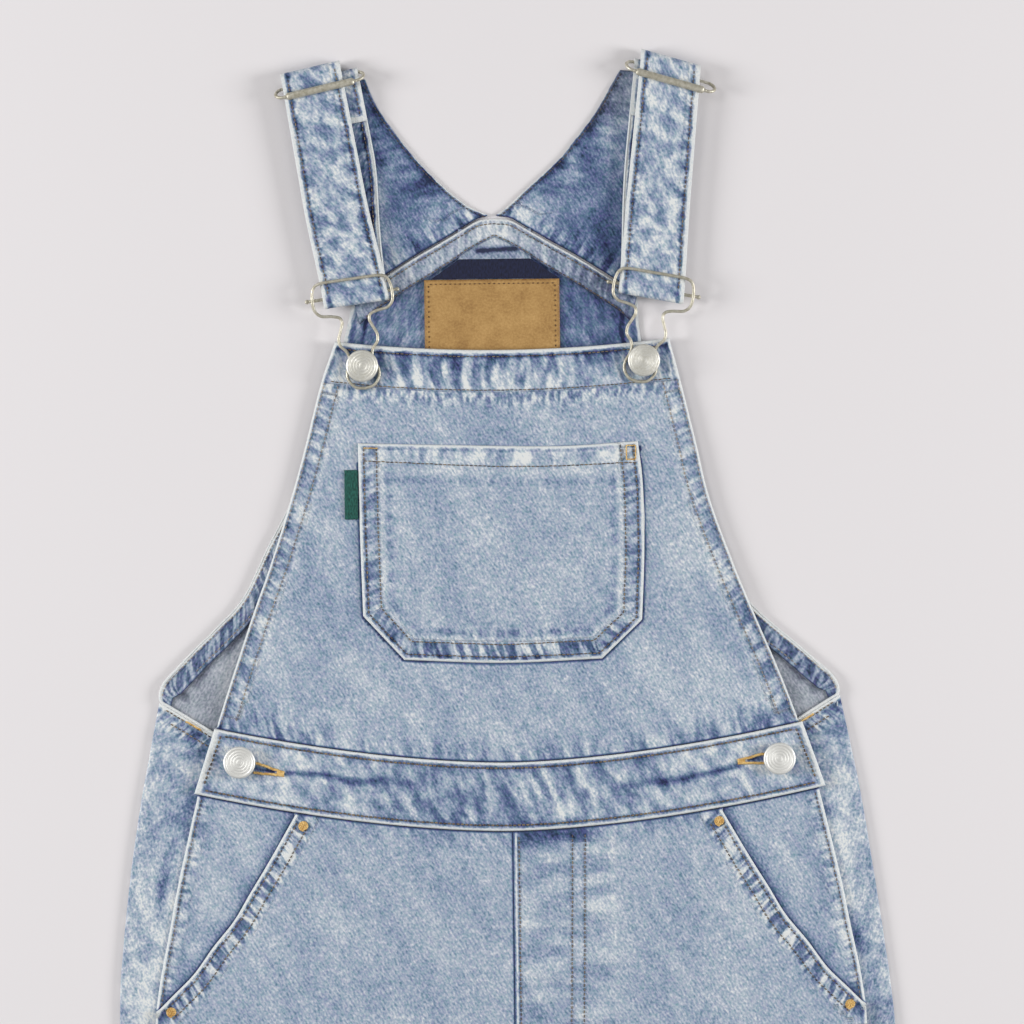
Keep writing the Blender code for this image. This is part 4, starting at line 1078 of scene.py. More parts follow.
hips = {
    "side": ((240, -1045), (234, -800), (230, -600), (227, -420), (225, -315)),
    "hip": ((225, -315), (222.5, -220), (219.8, -150)),
    "bearerSide": ((219.8, -150), (216.5, -128), (210.8, -100), (206, -75), (198.4, -41.5), (192.5, -17)),
    "opening": ((218.5, -149.5), (209, -140), (196, -127), (184, -110.5), (171, -94.5), (160.5, -77),
                (150, -60), (139.5, -42), (132, -29)),
    "inseam": ((72, -1045), (50, -800), (32, -600), (18, -450), (9, -370), (0.15, -315)),
    "hem": {**plainHem, "from": 1.2, "to": 11.5, "fade": 4, "slant": 0.2, "fine": 3.5, "strength": 0.58},
    "bearerHem": {**plainHem, "fade": 4, "fine": 3.2},
    "openingStitch": 10.4, "bearerHidden": 14, "legRows": 64, "hipRows": 40, "tackRadius": 3.0,
    "flyStitches": ((39.4, 37.4), (47.2, 45.1)),
}
opening, bearerSide = spline(hips["opening"]), spline(hips["bearerSide"])
hipSide = joined(spline(hips["side"]), spline(hips["hip"]))
sideLine = np.array(hips["bearerSide"])[:, ::-1]  # y, then x


def addFly(look, x, y, waistGap):
    # Fly: slanting ripples, grooves at its rows, a ridge at its outer edge, dark under the waistband.
    fly = rising(x, 4, 3) * (1 - rising(x, 62, 7)) * smoothStep((-42 - y) / 8) * rising(y, -265, 60)
    ripple = streaks(x, y, 70, 20, 8, 68) * 0.8 + streaks(x, y, 30, 12, 5, 69) * 0.4
    groove = sum(bell(x - place, 1.3) for place in (6.2, 38.4, 46.2))
    ridge = bell(x - 65 + 0.03 * (y + 90), 2.0)
    look["z"] += fly * (0.45 * ripple - 0.3 * groove + 0.4 * ridge)
    look["tone"] += fly * (0.05 * ripple - 0.07 * groove + 0.09 * ridge)
    look["tone"] -= 0.46 * bell(waistGap - 3.5, 5) * rising(x, 5, 3) * (1 - rising(x, 48, 12))
    addRopes(look, 0.17 * fly, x / 36, (y + 0.06 * x) / 9.5)


def frontSurface(side):
    # Front panel of one side: roped pocket hem, gathers under the waistband, folds down the leg.
    def surface(x, y):
        # Its look and its height at plan points.
        look = plainLook(x)
        openGap, along = nearest(x * side, y, opening)
        sideGap = nearest(x * side, y, hipSide)[0]
        waistGap, centreGap = belowWaist(x, y), np.abs(x - front["centre"])
        rope = roping(openGap, along, {**hips["hem"], "seed": 61 + side})
        gather = bell(waistGap, 13) * streaks(x, y, 30, 16, 5, 62)
        wash = streaks(x, y, 30, 26, 7, 63 + side) * 0.04 + streaks(x, y, 32, 60, 24, 66) * 0.028
        folds = streaks(x, y, 5 * side, 150, 26, 67) * smoothStep((-130 - y) / 90)
        look["z"] = frontTop(x, y, 0) + rolledEdge(openGap) + 0.4 * rope + 0.3 * gather + 0.5 * folds
        look["z"] -= 0.3 * bell(openGap - hips["openingStitch"], 1.3)
        look["edge"] = np.minimum(openGap, sideGap + 0.2)
        # Painted shade along the waist seam and beside the centre seam under the fly.
        look["seam"] = np.minimum(np.maximum(waistGap, 0) + 0.3, centreGap + 0.6)
        look["tone"] = frontTone(x, y) + 0.07 * rope + 0.08 * gather - 0.07 * bell(waistGap, 8) + wash
        look["tone"] += 0.05 * folds - 0.08 * bell(openGap - 5, 3)
        hemRopes(look, openGap, along, hips["hem"])
        leaningRopes(look, 0.2 * bell(waistGap, 11), x, y, 26, 5.0, 14)
        if side > 0:
            look["edge"] = np.minimum(look["edge"], np.abs(x - front["centre"] - 2.0) * 1.5 + 0.95)
            addFly(look, x, y, waistGap)
        return look
    return surface


def frontPlan(side):
    # Grid of a front on the right, from hem to waist seam. Its parts take the shares of the height that
    # they have in the solid, so the two surfaces agree.
    centre = side * front["centre"] + 0.15
    waist = bowedEdge(front["waistFoot"], centre, 132, -0.3)
    upperSide, seam = opening.copy(), spline(hips["inseam"])
    upperSide[-1] = waist[-1]
    seam[:, 0] += rising(seam[:, 1], -600, 600 + front["crotch"]) * (centre - seam[-1, 0])
    rowsLeg, rowsHip = (np.linspace(0, 1, hips[key] + 1) for key in ("legRows", "hipRows"))
    outer, inner, v = stackedEdges(
        (spline(hips["side"]), seam, rowsLeg, 9),
        (spline(hips["hip"]), ((centre, front["crotch"]), (centre, -150)), rowsHip, 4),
        (upperSide, ((centre, -150), waist[0]), steps(135, 1.7, False), 9))
    u = steps(215, 2.1)
    return blendEdges(pointsAt((inner[0], outer[0]), u), outer, pointsAt(waist, u), inner, u, v)


def makeFront(side, sideName, ending):
    # Front panel: its pocket opening, hem and, on the right, its fly stitched, its opening tacked.
    plan = mirrored(frontPlan(side), side)
    surface = frontSurface(side)
    look = surface(plan[..., 0], plan[..., 1])
    rows = [insetCurve(opening, gap)[4:-6] * (side, 1) for gap in (3.4, hips["openingStitch"])]
    rows.append(np.array(((76, -1026), (236, -1026))) * (side, 1))
    if side > 0:
        rows.append([(6.2, -44), (6.2, -300)])
        rows += [spline([(top, -43), (low, -160), (low - 3, -200), (low - 14, -228), (8, -247)])
                 for top, low in hips["flyStitches"]]
    rows = [onSurface(row, surface) for row in rows]
    stitches = stitchMesh(f"front{sideName}Stitches", rows, oliveThread, thick=0.34)
    tackPlaces = [((130.5 if side > 0 else -127), -36), (210.2 * side, -150.4)]
    tacks = roundTacks(f"front{sideName}Tacks", tackPlaces, hips["tackRadius"], surface)
    finishSheet(f"front{sideName}Sheet", raised(plan, look), plan, look, [f"front_{ending}"],
                [stitches, tacks], flat=(0.242, 1.035))


def bearerTop(x, y):
    # Upper face of the hip cloth, one layer below the front panel.
    return {"z": frontTop(x, y, -front["layer"])}


def makeBearer(side, sideName, ending):
    # Hip cloth under the pocket opening: pale side edge, painted shadow beneath the opening's edge.
    outer = bearerSide.copy()
    inner = opening - (hips["bearerHidden"], hips["bearerHidden"] * 0.5)
    for edge in (outer, inner):
        edge[-1, 1] = belowWaist(edge[-1, 0], 0)
    top = bowedEdge(front["waistFoot"], inner[-1, 0], outer[-1, 0], -0.3)
    foot = np.stack([inner[0], outer[0]])
    plan = mirrored(patchPlan(foot, outer, top, inner, steps(60, 1.9, False), steps(130, 1.9, False)), side)
    x, y = plan[..., 0], plan[..., 1]
    look = plainLook(x)
    edgeGap, openGap = nearest(x * side, y, bearerSide)[0], nearest(x * side, y, opening)[0]
    waistGap = belowWaist(x, y)
    hidden = y < np.interp(x * side, opening[::-1, 0], opening[::-1, 1])
    look["z"] = bearerTop(x, y)["z"] + rolledEdge(edgeGap) * 0.8 + 0.25 * streaks(x, y, 20, 30, 12, 75)
    look["edge"] = edgeGap
    # Painted shade along the waist seam and beneath the pocket opening's edge, full where the front hides
    # the cloth.
    look["seam"] = np.minimum(np.maximum(waistGap, 0) + 0.3, np.where(hidden, 0.3, openGap + 0.3))
    wash = streaks(x, y, 30, 22, 6, 71 + side) * 0.05 + streaks(x, y, 25, 30, 13, 74) * 0.06
    look["tone"] = wash + 0.03 - 0.09 * bell(waistGap, 9)
    # Painted shadow cast by the opening's edge on the cloth below: a broad fall and a darker line close to
    # it.
    look["tone"] -= (0.14 * bell(openGap, 9) + 0.16 * bell(openGap, 3)) * ~hidden
    look["tone"] -= 0.1 * bell(edgeGap - 12, 5) * (softNoise(x / 9, y / 13, 76 + side) > 0)
    hemRopes(look, edgeGap, y, hips["bearerHem"])
    row = onSurface(insetCurve(outer, 2.9)[6:-4] * (side, 1), bearerTop)
    stitches = stitchMesh(f"bearer{sideName}Stitches", [row], oliveThread, thick=0.3)
    finishSheet(f"bearer{sideName}Sheet", raised(plan, look), plan, look, [f"pocket_bearer_{ending}"],
                [stitches])


for side, sideName, ending in handed:
    makeFront(side, sideName, ending)
    makeBearer(side, sideName, ending)
print("front panels and bearers made")

back = {
    "outline": ((262, -1045), (256, -800), (252, -600), (249, -420), (247, -315)),
    "hip": ((247, -315), (240, -158), (236, -112), (230, -65), (223, -20), (216, 16), (211, 41)),
    "turn": ((211, 41), (210.8, 47), (207.8, 54), (201, 61), (189, 73)),
    "armhole": ((189, 73), (173, 88), (157, 106), (142, 138), (124, 172), (109, 203), (98, 236), (90, 264),
                (88, 290)),
    "yokeTop": ((88, 290), (66, 304.5), (50, 314.5), (35, 323), (20, 331.8), (9.5, 337.7), (0.15, 338.8)),
    "yokeFoot": ((84, 274), (76, 281), (64, 289), (50, 298), (39, 304.5), (27, 312), (14, 320.5),
                 (0, 327.5)),
    # At each height: how far the right armhole is drawn in, the left one let out, and the back lies aside.
    "draw": ((45, 0), (70, -2.5), (95, -4.8), (120, -5.5), (145, -4.5), (175, -2), (205, 0)),
    "spread": ((205, 0), (236, 3), (262, 4.2), (278, 3.5), (290, 0)),
    "shifts": ((-1045, 0), (-315, -1.2), (-158, -2.4), (-134, -3.4), (-109, -4.0), (-84, -4.4), (-59, -4.7),
               (0, -4.6), (41, -4.8), (65, -5.6), (90, -6.2), (115, -5.4), (150, -4.5), (400, -4.5)),
    "shift": -4.5, "radius": 1.35, "band": 13.0, "far": 50.0,
    "strip": ((-1045, 30), (-200, 30), (-20, 42), (41, 46)), "stripSlope": 0.62,
    "hem": {**plainHem, "from": 2.5, "to": 11.5, "fade": 3.5, "seed": 81, "strength": 0.45},
    "tones": {-1: {"strip": 0.03, "bib": 0.05, "legs": -0.03, "window": 0.05, "upper": 0},
              1: {"strip": 0, "bib": 0.14, "legs": 0.12, "window": -0.06, "upper": 0.05}},
}
rimLook = {"radius": ((0, 0.35), (148, 0.42), (176, 0.85), (250, 0.9)), "z": 2.45, "soften": 3, "inset": 0.8}
facingLook = {"start": 0.8, "z": 2.7, "stitchZ": 2.95,
              "dark": {-1: 0.06, 1: 0.14}, "slant": {-1: 0.9, 1: 0.2}}
# Creases of the back as x, y to x, y, half width, height, for the right half.
backCreases = (
    (20, -280, 150, -200, 13, 0.8), (40, -340, 180, -300, 12, 0.9), (110, -420, 150, -640, 16, 0.8),
    (60, -640, 200, -680, 13, 0.9), (90, -700, 210, -735, 12, 0.8), (120, -800, 150, -1000, 15, 0.8),
    (20, 20, 130, 60, 12, 0.7), (30, 120, 110, 190, 12, 0.6), (90, -60, 170, 10, 12, 0.7),
)
hipLine = np.array(back["hip"])[:, ::-1]  # y, then x


def backShift(y):
    # How far the back lies aside, read between its listed heights.
    return columnAt(back["shifts"], y)


def onBack(plan, side):
    # Plan of the right half, turned over for the left, then moved aside with the back.
    x, y = plan[..., 0], plan[..., 1]
    return np.stack([x * side + backShift(y), y], axis=-1)


def armholeEdge(rows, side):
    # Stretch of the armhole's edge: the right one is drawn in, the left one let out at the top.
    rows = np.array(rows, float)
    rows[:, 0] += columnAt(back["draw" if side > 0 else "spread"], rows[:, 1])
    return spline(rows)


def armholeLine(side):
    # Edge of the armhole from its foot, round the turn and up to the wing.
    return joined(pointsAt(armholeEdge(back["turn"], side), np.linspace(0, 1, 32)),
                  pointsAt(armholeEdge(back["armhole"][:6], side), np.linspace(0, 1, 90)))


def stripLine():
    # Upper edge of the folded side strip on the right: inwards from the outer fold, falling by its slope.
    reach = np.linspace(0, 46, 30)
    return np.stack([211 - back["radius"] - reach, 41 - back["stripSlope"] * reach], axis=1)


def backEdges(side):
    # Outer and inner edge from hem to yoke, each row's share of the height, and the row where the fold ends.
    rowsLeg = np.linspace(0, 1, 66)
    rowsHip = joined(np.linspace(0, 0.42, 24), 0.42 + 0.58 * steps(206, 2.3, False))
    outer, inner, v = stackedEdges(
        (spline(back["outline"]), spline(hips["inseam"]), rowsLeg, 9),
        (spline(back["hip"]), ((0.15, -315), (0.15, 20)), rowsHip, 9),
        (armholeEdge(back["turn"], side), ((0.15, 20), (0.15, 70)), np.linspace(0, 1, 14), 5),
        (armholeEdge(back["armhole"], side), ((0.15, 70), (0, 338.8)), steps(250, 2.6, False), 9))
    folded = len(rowsLeg) + len(rowsHip) - 2
    outer[:folded + 1, 0] -= back["radius"]
    return outer, inner, v, folded


def backFloor(side, outer, inner, u, v):
    # Outside cloth on the floor, raised a little where nothing lies close above it, and the distance of
    # each point from the rim.
    yoke = pointsAt(spline(back["yokeTop"])[::-1], u)
    plan = blendEdges(pointsAt((inner[0], outer[0]), u), outer, yoke, inner, u, v)
    x, y = plan[..., 0], plan[..., 1]
    outline = joined(spline(back["outline"]), spline(back["hip"]), armholeEdge(back["turn"], side),
                     armholeEdge(back["armhole"], side))
    rim = nearest(x, y, outline)[0]
    free = rising(rim, 13, 16) * rising(nearest(x, y, spline(back["yokeFoot"]))[0], 4, 14) * (y < 322)
    free = free * smoothStep((np.hypot(x / 60, (y - 272) / 40) - 1) * 2)
    stripGap = columnAt(hipLine, y) - x - columnAt(back["strip"], y)
    free = free * np.where(y < 45, smoothStep(stripGap / 12), 1)
    relief = creased(x, y, backCreases) * 0.8 + 0.5 + 0.4 * softNoise(x / 34 + 5 * side, y / 46, 82)
    return np.dstack([plan, free * np.clip(relief, 0, 1.25)]), rim


def backFold(outer):
    # Half a turn round the outer edge, then the side strip inwards over the floor part: points and grain.
    edgeX, edgeY, radius = outer[:, :1], outer[:, 1:], back["radius"]
    angles = np.radians(np.linspace(-90, 90, 8)[1:])
    foldX = edgeX + radius * np.cos(angles)
    foldY = edgeY + 0 * foldX
    foldZ = radius * (1 + np.sin(angles)) + 0 * foldX
    inward = columnAt(back["strip"], edgeY) * steps(40, 2.0, False)[1:]
    stripY = edgeY - back["stripSlope"] * rising(edgeY, -60, 100) * inward
    strip = np.dstack([edgeX - inward, stripY, np.full(stripY.shape, 2 * radius)])
    points = np.concatenate([np.dstack([foldX, foldY, foldZ]), strip], axis=1)
    turned = np.dstack([edgeX + radius * (angles + math.pi / 2), foldY])
    return points, np.concatenate([turned, np.dstack([edgeX + 4.2 + inward, stripY])], axis=1)


def backLook(x, y, rim, onStrip, side):
    # Strip: puckered top hem, patches, a broken dark seam fold. Floor: darker and greyer from bib to hem,
    # painted shade near its rim, the yoke's foot, the middle seam and the window's foot, and painted shadow
    # lines beside the armhole's band and in the armhole.
    look, tones = plainLook(x), back["tones"][side]
    topGap, topAlong = nearest(x, y, stripLine())
    topGap = np.where(onStrip, topGap, back["far"])
    rope = roping(topGap, topAlong, back["hem"])
    look["z"] = onStrip * (0.28 * rope + 0.5 * rolledEdge(topGap))
    look["edge"] = np.minimum(rim * 0.62 + 0.3, topGap * 0.62 + 0.2)
    hemRopes(look, topGap, topAlong, back["hem"])
    seamFold = bell(x - columnAt(sideLine, y) - 5, 4.5) * rising(-y, 8, 20) * rising(y, -175, 20)
    seamFold = seamFold * smoothStep(0.5 + 1.2 * softNoise(x / 30, y / 26, 89 + side))
    patches = softNoise(x / 15, y / 22, 83 + side) * 0.135 + streaks(x, y, 30 * side, 40, 15, 84) * 0.0675
    hidden = bell(x - 192 - 0.1 * y, 7) * (y < 10)
    stripTone = patches + tones["strip"] - 0.42 * seamFold + 0.06 * rope - 0.13 * hidden
    floorTone = streaks(x, y, 30 * side, 26, 7, 86) * 0.05 + softNoise(x / 40, y / 55, 87) * 0.05
    inBib = rising(y, 200, 60)
    shaded = bell(nearest(x, y, spline(back["yokeFoot"]))[0], 9) + bell(rim, 12)
    floorTone -= tones["bib"] * inBib + tones["legs"] * (1 - inBib) + 0.12 * np.minimum(shaded, 1)
    inWindow, inArmhole = (y > 20) & (y < 190), ~onStrip & (y > 232) & (y < 290)
    # Painted shadow line beside the facing band's inner edge, and in the window painted shade that deepens
    # towards its foot.
    facingShadow = 0.42 * bell(rim - back["band"] - 1.6, 1.3)
    floorTone += inWindow * (0.2 * rising(y, 42, 62) - tones["window"] - facingShadow)
    floorTone += inWindow * 0.12 * softNoise(x / 12, y / 16, 90)
    # In the armhole a paler band near the rim, then a painted shadow line.
    floorTone += inArmhole * (0.12 * (rim < 9.5) - 0.7 * bell(rim - 10.6, 1.1))
    floorTone -= tones["upper"] * smoothStep(x / 40) * (y > 230)
    look["tone"] = np.where(onStrip, stripTone, floorTone) - 0.1 * bell(topGap - 15.5, 3.2)
    look["edge"] = np.where(inArmhole, np.minimum(look["edge"], rim * 1.1), look["edge"])
    look["grey"] = np.where(onStrip, 0, 0.92 * (1 - inBib))
    # Painted shade along the back's middle seam, where the halves meet, below the bib's top.
    look["seam"] = np.where(onStrip | (y > 235), back["far"], np.abs(x) + 0.5)
    leaningRopes(look, np.where(onStrip, 0, 0.2 * inBib), x, y, 20, 5, 12)
    return look


def makeBack(side, sideName, ending):
    # Back half as one sheet: floor part, fold and side strip, whose rows stop at the armhole's foot.
    outer, inner, v, folded = backEdges(side)
    u = steps(150, 3.6, False)
    floorPart, rim = backFloor(side, outer, inner, u, v)
    foldPart, foldGrain = backFold(outer)
    points = np.concatenate([floorPart, foldPart], axis=1)
    grain = np.concatenate([floorPart[..., :2], foldGrain], axis=1)
    rim = np.concatenate([rim, np.full(foldPart.shape[:2], back["far"])], axis=1)
    onStrip = np.arange(points.shape[1])[None] > len(u) + 2
    look = backLook(points[..., 0], points[..., 1], rim, onStrip, side)
    points[..., 2] += look["z"]
    points[..., :2] = onBack(points[..., :2], side)
    mask = np.ones((points.shape[0] - 1, points.shape[1] - 1), bool)
    mask[folded:, len(u) - 1:] = False
    surface = levelAt(2 * back["radius"] + 0.1)
    topRow, inward = onBack(stripLine(), side), unit(np.array((-0.32 * side, -1.0)))
    rows = [onSurface(topRow[1:] + inward * gap, surface) for gap in (3.4, 12.4)]
    stitches = stitchMesh(f"back{sideName}StripStitches", rows, oliveThread)
    tackAt, tackHalf = topRow[12] + inward * 2.6, np.array((4.6 * side, 2.7))
    tackRow = onSurface([tackAt - tackHalf, tackAt + tackHalf], surface, 0.5)
    tack = stitchMesh(f"back{sideName}Tack", [tackRow], mustardThread, pitch=0.9, long=1.6, thick=0.6)
    hemRow = np.array(((80, -1026, -0.2), (255, -1026, -0.2))) * (side, 1, 1)
    outside = stitchMesh(f"back{sideName}HemStitches", [hemRow], oliveThread, down=True, thick=0.25)
    finishSheet(f"back{sideName}Sheet", points, grain, look, [f"back_{ending}"],
                [stitches, tack, outside, makeRim(side, sideName)], (denimBack, denimReverse),
                shell=1.15, flip=side > 0, mask=mask, flat=(0.31, 1.384))


def makeRim(side, sideName):
    # Roll of pale cloth down the armhole's edge, round its corner and along the strip's top edge: an arc
    # about the softened edge, a little inwards from it.
    path = pointsAt(joined(armholeLine(side)[::-1], stripLine()[:25]), np.linspace(0, 1, 220))
    reach = rimLook["soften"]
    soft = np.ones(reach * 2 + 1) / (reach * 2 + 1)
    padded = np.pad(path, ((reach, reach), (0, 0)), mode="edge")
    path = np.stack([np.convolve(part, soft, "valid") for part in padded.T], axis=1)
    inward, along = -leftOf(wayAlong(path)), lengths(path)[:, None]
    radius, angle = columnAt(rimLook["radius"], along), np.radians(np.linspace(-105, 105, 11))
    plan = path[:, None] + inward[:, None] * (radius * (np.sin(angle) + rimLook["inset"]))[..., None]
    along = along + 0 * angle
    look = plainLook(along)
    look["z"] = rimLook["z"] + radius * np.cos(angle)
    look["edge"] = 0.3 + 0.6 * np.clip(softNoise(along / 5, 0 * along, 93 + side), 0, 1)
    look["tone"] = 0.1 * softNoise(along / 7, 0 * along, 95 + side)
    look["grey"] = np.full(along.shape, 0.3)
    points = raised(onBack(plan, side), look)
    return clothMesh(f"armholeRim{sideName}", points, plan, look, wornCloth, shell=0.3, flip=side < 0)


def makeFacing(side, sideName, ending):
    # Band turned in along the armhole: pale rolled outer edge, stitches near its inner edge.
    edge = joined(((211.2, 34), (211, 41)), armholeLine(side))
    inward, along, start = leftOf(wayAlong(edge)), lengths(edge)[:, None], facingLook["start"]
    wide = (back["band"] - start) * (0.45 + 0.55 * smoothStep(along / 22))
    widths = start + wide * (1 - steps(10.2, 1.3))[::side]
    along = along + 0 * widths
    plan = edge[:, None] + inward[:, None] * widths[..., None]
    look = plainLook(along)
    gap = np.minimum(widths - start, wide + start + 0.1 - widths)
    rope = np.tanh(2 * softNoise(along / 5.5, widths / 9, 91 + side))
    look["z"] = facingLook["z"] - 0.4 * (1 - rising(plan[..., 1], 36, 10))
    look["z"] += 0.5 * rolledEdge(gap) + 0.15 * rope
    look["edge"] = np.where(widths < 4, widths * 0.8 - 0.3, back["far"])
    # Painted shade beside the band's inner edge.
    look["seam"] = gap + 0.4 + back["far"] * (widths < 4)
    look["tone"] = 0.05 * rope - facingLook["dark"][side] - 0.1 * bell(widths - wide + 2.6, 0.9)
    slanted = along + facingLook["slant"][side] * widths
    addRopes(look, 0.46 * rising(widths, 1.6, 1.5), slanted / 3.7, widths / 11)
    look["grey"] = np.full(along.shape, 0.15)
    rows = [atHeight(onBack((edge + inward * place)[first:-2], side), facingLook["stitchZ"])
            for place, first in ((2.4, 4), (back["band"] - 2.6, 26))]
    stitches = stitchMesh(f"facing{sideName}Stitches", rows, paleThread, thick=0.32)
    finishSheet(f"facing{sideName}Sheet", raised(onBack(plan, side), look), plan, look,
                [f"armhole_facing_{ending}"], [stitches], (denimReverse, denimReverse),
                flat=(0.0135, 0.215))


wings = {
    "outer": {-1: ((-93, 291), (-100, 320), (-110, 355), (-121, 395), (-129.5, 424)),
              1: ((84, 290), (93, 325), (103, 362), (112, 396), (120, 424.5))},
    "neck": {-1: ((-8.5, 340.9), (-20.6, 346.8), (-33.5, 356.9), (-43.9, 367), (-53.1, 377), (-61.1, 387),
                  (-68.4, 397.1), (-75.1, 407), (-79.9, 417), (-83.2, 426)),
             1: ((-3.5, 340.8), (4.2, 346.5), (14.8, 356.3), (26.1, 366.1), (36.8, 375.9), (45, 385.8),
                 (53.1, 395.6), (60.1, 405.4), (65.8, 415.3), (71.5, 425.1), (74.6, 430))},
    "seam": 1.5, "z": 1.2, "stitchZ": 1.45,
    "hem": {**plainHem, "to": 9, "pitch": 5},
    "ropes": {**plainHem, "to": 16, "fade": 9, "fine": 4.6, "strength": 0.2},
    "tones": {-1: {"wide": 24, "pale": 0.1, "grey": 0, "dark": 0},
              1: {"wide": 16, "pale": 0.02, "grey": 0.45, "dark": 0.05}},
}


def makeWing(side, sideName, ending):
    # Strap's wide end: indigo cloth, dark turned neck edge, paler streaks down to the yoke.
    (outer, neck), tones = (spline(wings[key][side]) for key in ("outer", "neck")), wings["tones"][side]
    yoke = spline(back["yokeTop"]) * (side, 1) + (back["shift"], wings["seam"])
    yoke = yoke[(yoke[:, 0] - neck[0, 0]) * side > wings["seam"]]
    outer[0] = yoke[0]
    foot = np.vstack([yoke, neck[:1]])
    plan = patchPlan(foot, neck, (outer[-1], neck[-1]), outer, steps(95, 2.0), steps(135, 2.0, False, False))
    plan = plan[:, ::-side]
    x, y = plan[..., 0], plan[..., 1]
    look = plainLook(x)
    neckGap, outerGap, yokeGap = (nearest(x, y, edge)[0] for edge in (neck, outer, foot))
    rope = roping(neckGap, y, {**wings["hem"], "seed": 95 + side})
    pull = bell(yokeGap, 14) * streaks(x, y, -35 * side, 26, 5, 96)
    rise = smoothStep(np.minimum(np.minimum(neckGap, outerGap), yokeGap) / 25)
    look["z"] = wings["z"] + rise * (0.25 + 0.25 * softNoise(x / 26, y / 30, 97)) + 0.12 * rope
    look["edge"] = np.minimum(neckGap * 1.3 + 0.9 * rising(y, 340, 60), outerGap * 1.2) + 0.45
    # Painted shade along the foot, under the yoke band's edge.
    look["seam"] = yokeGap + 0.25
    look["tone"] = streaks(x, y, 30, 30, 7, 98) * 0.07 + 0.07 * pull + 0.05 * rope
    look["tone"] += 0.09 * softNoise(x / 22, y / 30, 99) + 0.2 * softNoise(x / 11, y / 15, 94 + side)
    look["tone"] -= 0.14 * bell(neckGap - 3.2, 1.4) + 0.18 * bell(outerGap, 4)
    look["tone"] -= tones["dark"] * rising(y, 380, 40)
    apexGap = np.hypot(x - neck[0, 0], y - neck[0, 1])
    pale = bell(apexGap - 16, 20) * bell(yokeGap, tones["wide"]) * (0.7 + 0.6 * softNoise(x / 5, y / 9, 96))
    look["tone"] += 0.34 * pale + tones["pale"] * bell(yokeGap, 45)
    look["grey"] = tones["grey"] * rising(y, 385, 30)
    hemRopes(look, neckGap, y, wings["ropes"])
    leaningRopes(look, 0.42 * bell(yokeGap, 12), x, y, -33 * side, 3.6, 19)
    row = onSurface(insetCurve(neck, -1.7 * side)[2:-2], levelAt(wings["stitchZ"]))
    stitches = stitchMesh(f"wing{sideName}Stitches", [row], darkThread, thick=0.34)
    finishSheet(f"wing{sideName}Sheet", raised(plan, look), plan, look, [f"wing_{ending}"], [stitches],
                (denimDark, denimFace))


def yokeEdge(rows):
    # Both halves of an edge of the yoke, from its left end over the middle to its right end.
    half = spline(rows)
    return joined(half * (-1, 1), half[::-1]) + (back["shift"], 0)


def makeYoke():
    # Roof-shaped band over the yoke seam: worn top edge, puckers across it, double-stitched foot, a painted
    # highlight at its point, painted shade towards both ends, more on the right, and a painted shadow line
    # along its foot.
    top, foot = yokeEdge(back["yokeTop"]), yokeEdge(back["yokeFoot"])
    u = steps(205, 1.5)
    plan = patchPlan(foot, (foot[-1], top[-1]), top, (foot[0], top[0]), u, steps(11, 1.4))
    x, y = plan[..., 0], plan[..., 1]
    look = plainLook(x)
    topGap, footGap = nearest(x, y, top)[0], nearest(x, y, foot)[0]
    gap, across = np.minimum(topGap, footGap), x - back["shift"]
    along = lengths(top)[-1] * u + 0 * x
    rope = np.tanh(2 * softNoise(along / 5.5, topGap / 8, 101))
    look["z"] = 2.7 + 0.55 * rolledEdge(gap) + 0.2 * rope * smoothStep(gap / 3)
    look["edge"] = topGap * 1.2 + 0.3
    # Painted highlight at the point, painted shade away from it, and a painted shadow line along the foot.
    look["tone"] = 0.06 * rope - 0.04 + 0.26 * bell(across, 9) - 0.45 * bell(footGap, 1.4)
    look["tone"] -= 0.14 * rising(np.abs(across), 30, 50) + 0.16 * rising(x, 12, 40)
    addRopes(look, 0.24 * smoothStep(gap / 1.6), along / 3.4, topGap / 12)
    look["grey"] = np.full(x.shape, 0.4)
    rows = [atHeight(top[6:-6] - (0, 3.3), 3.0), atHeight(foot[6:-6] + (0, 1.2), 2.95)]
    stitches = stitchMesh("yokeStitches", rows, oliveThread, thick=0.34)
    finishSheet("yokeBandSheet", raised(plan, look), plan, look, ["yoke_band"], [stitches],
                flat=(0.226, 0.013))


for side, sideName, ending in handed:
    makeBack(side, sideName, ending)
    makeFacing(side, sideName, ending)
    makeWing(side, sideName, ending)
makeYoke()
print("back, facings, wings and yoke made")

strapLook = {
    "wall": 1.6, "halfFoot": 20.3, "halfTop": 18.7, "start": 6, "slantReach": 45, "fold": 4.1,
    "barRadius": 1.1, "barHeight": 6.4, "slack": 3.0, "asideReach": 60, "sliderDrop": 15,
    "sliderBack": 9.5, "tail": 30,
    "stitchAt": 3.9, "step": 1.35, "hem": {**plainHem, "pitch": 4.6},
    "ropes": {**plainHem, "from": 2.6, "to": 5.5, "fade": 2.5, "slant": 0.2},
}
straps = {
    "Left": {"side": -1, "foot": (-93.0, 292.0), "top": (-117.5, 433.8), "inward": 10.0, "turn": 7.5,
             "topTurn": 12.5, "aside": (2.0, 0.0), "pale": 0},
    "Right": {"side": 1, "foot": (93.7, 293.5), "top": (108.3, 436.8), "inward": 3.5, "turn": -10.5,
              "topTurn": -16.5, "aside": (-1.2, -2.0), "pale": 0.04},
}


def strapAxes(strap):
    # Length from foot to top, the direction across, and the direction up.
    run = np.subtract(strap["top"], strap["foot"])
    length = float(np.linalg.norm(run))
    up = run / length
    return length, np.array((up[1], -up[0])), up


def slants(strap):
    # Rise across the strap at its foot and its top: tangent of each turn less the strap's own lean.
    across = strapAxes(strap)[1]
    lean = math.atan2(across[1], across[0])
    return [math.tan(math.radians(strap[key]) - lean) for key in ("turn", "topTurn")]


def arc(s, z, radius, first, last, spans):
    # Part of a circle about a place, between two angles in degrees.
    angle = np.radians(np.linspace(first, last, spans + 1))
    return np.stack([s + radius * np.cos(angle), z + radius * np.sin(angle)], axis=1)


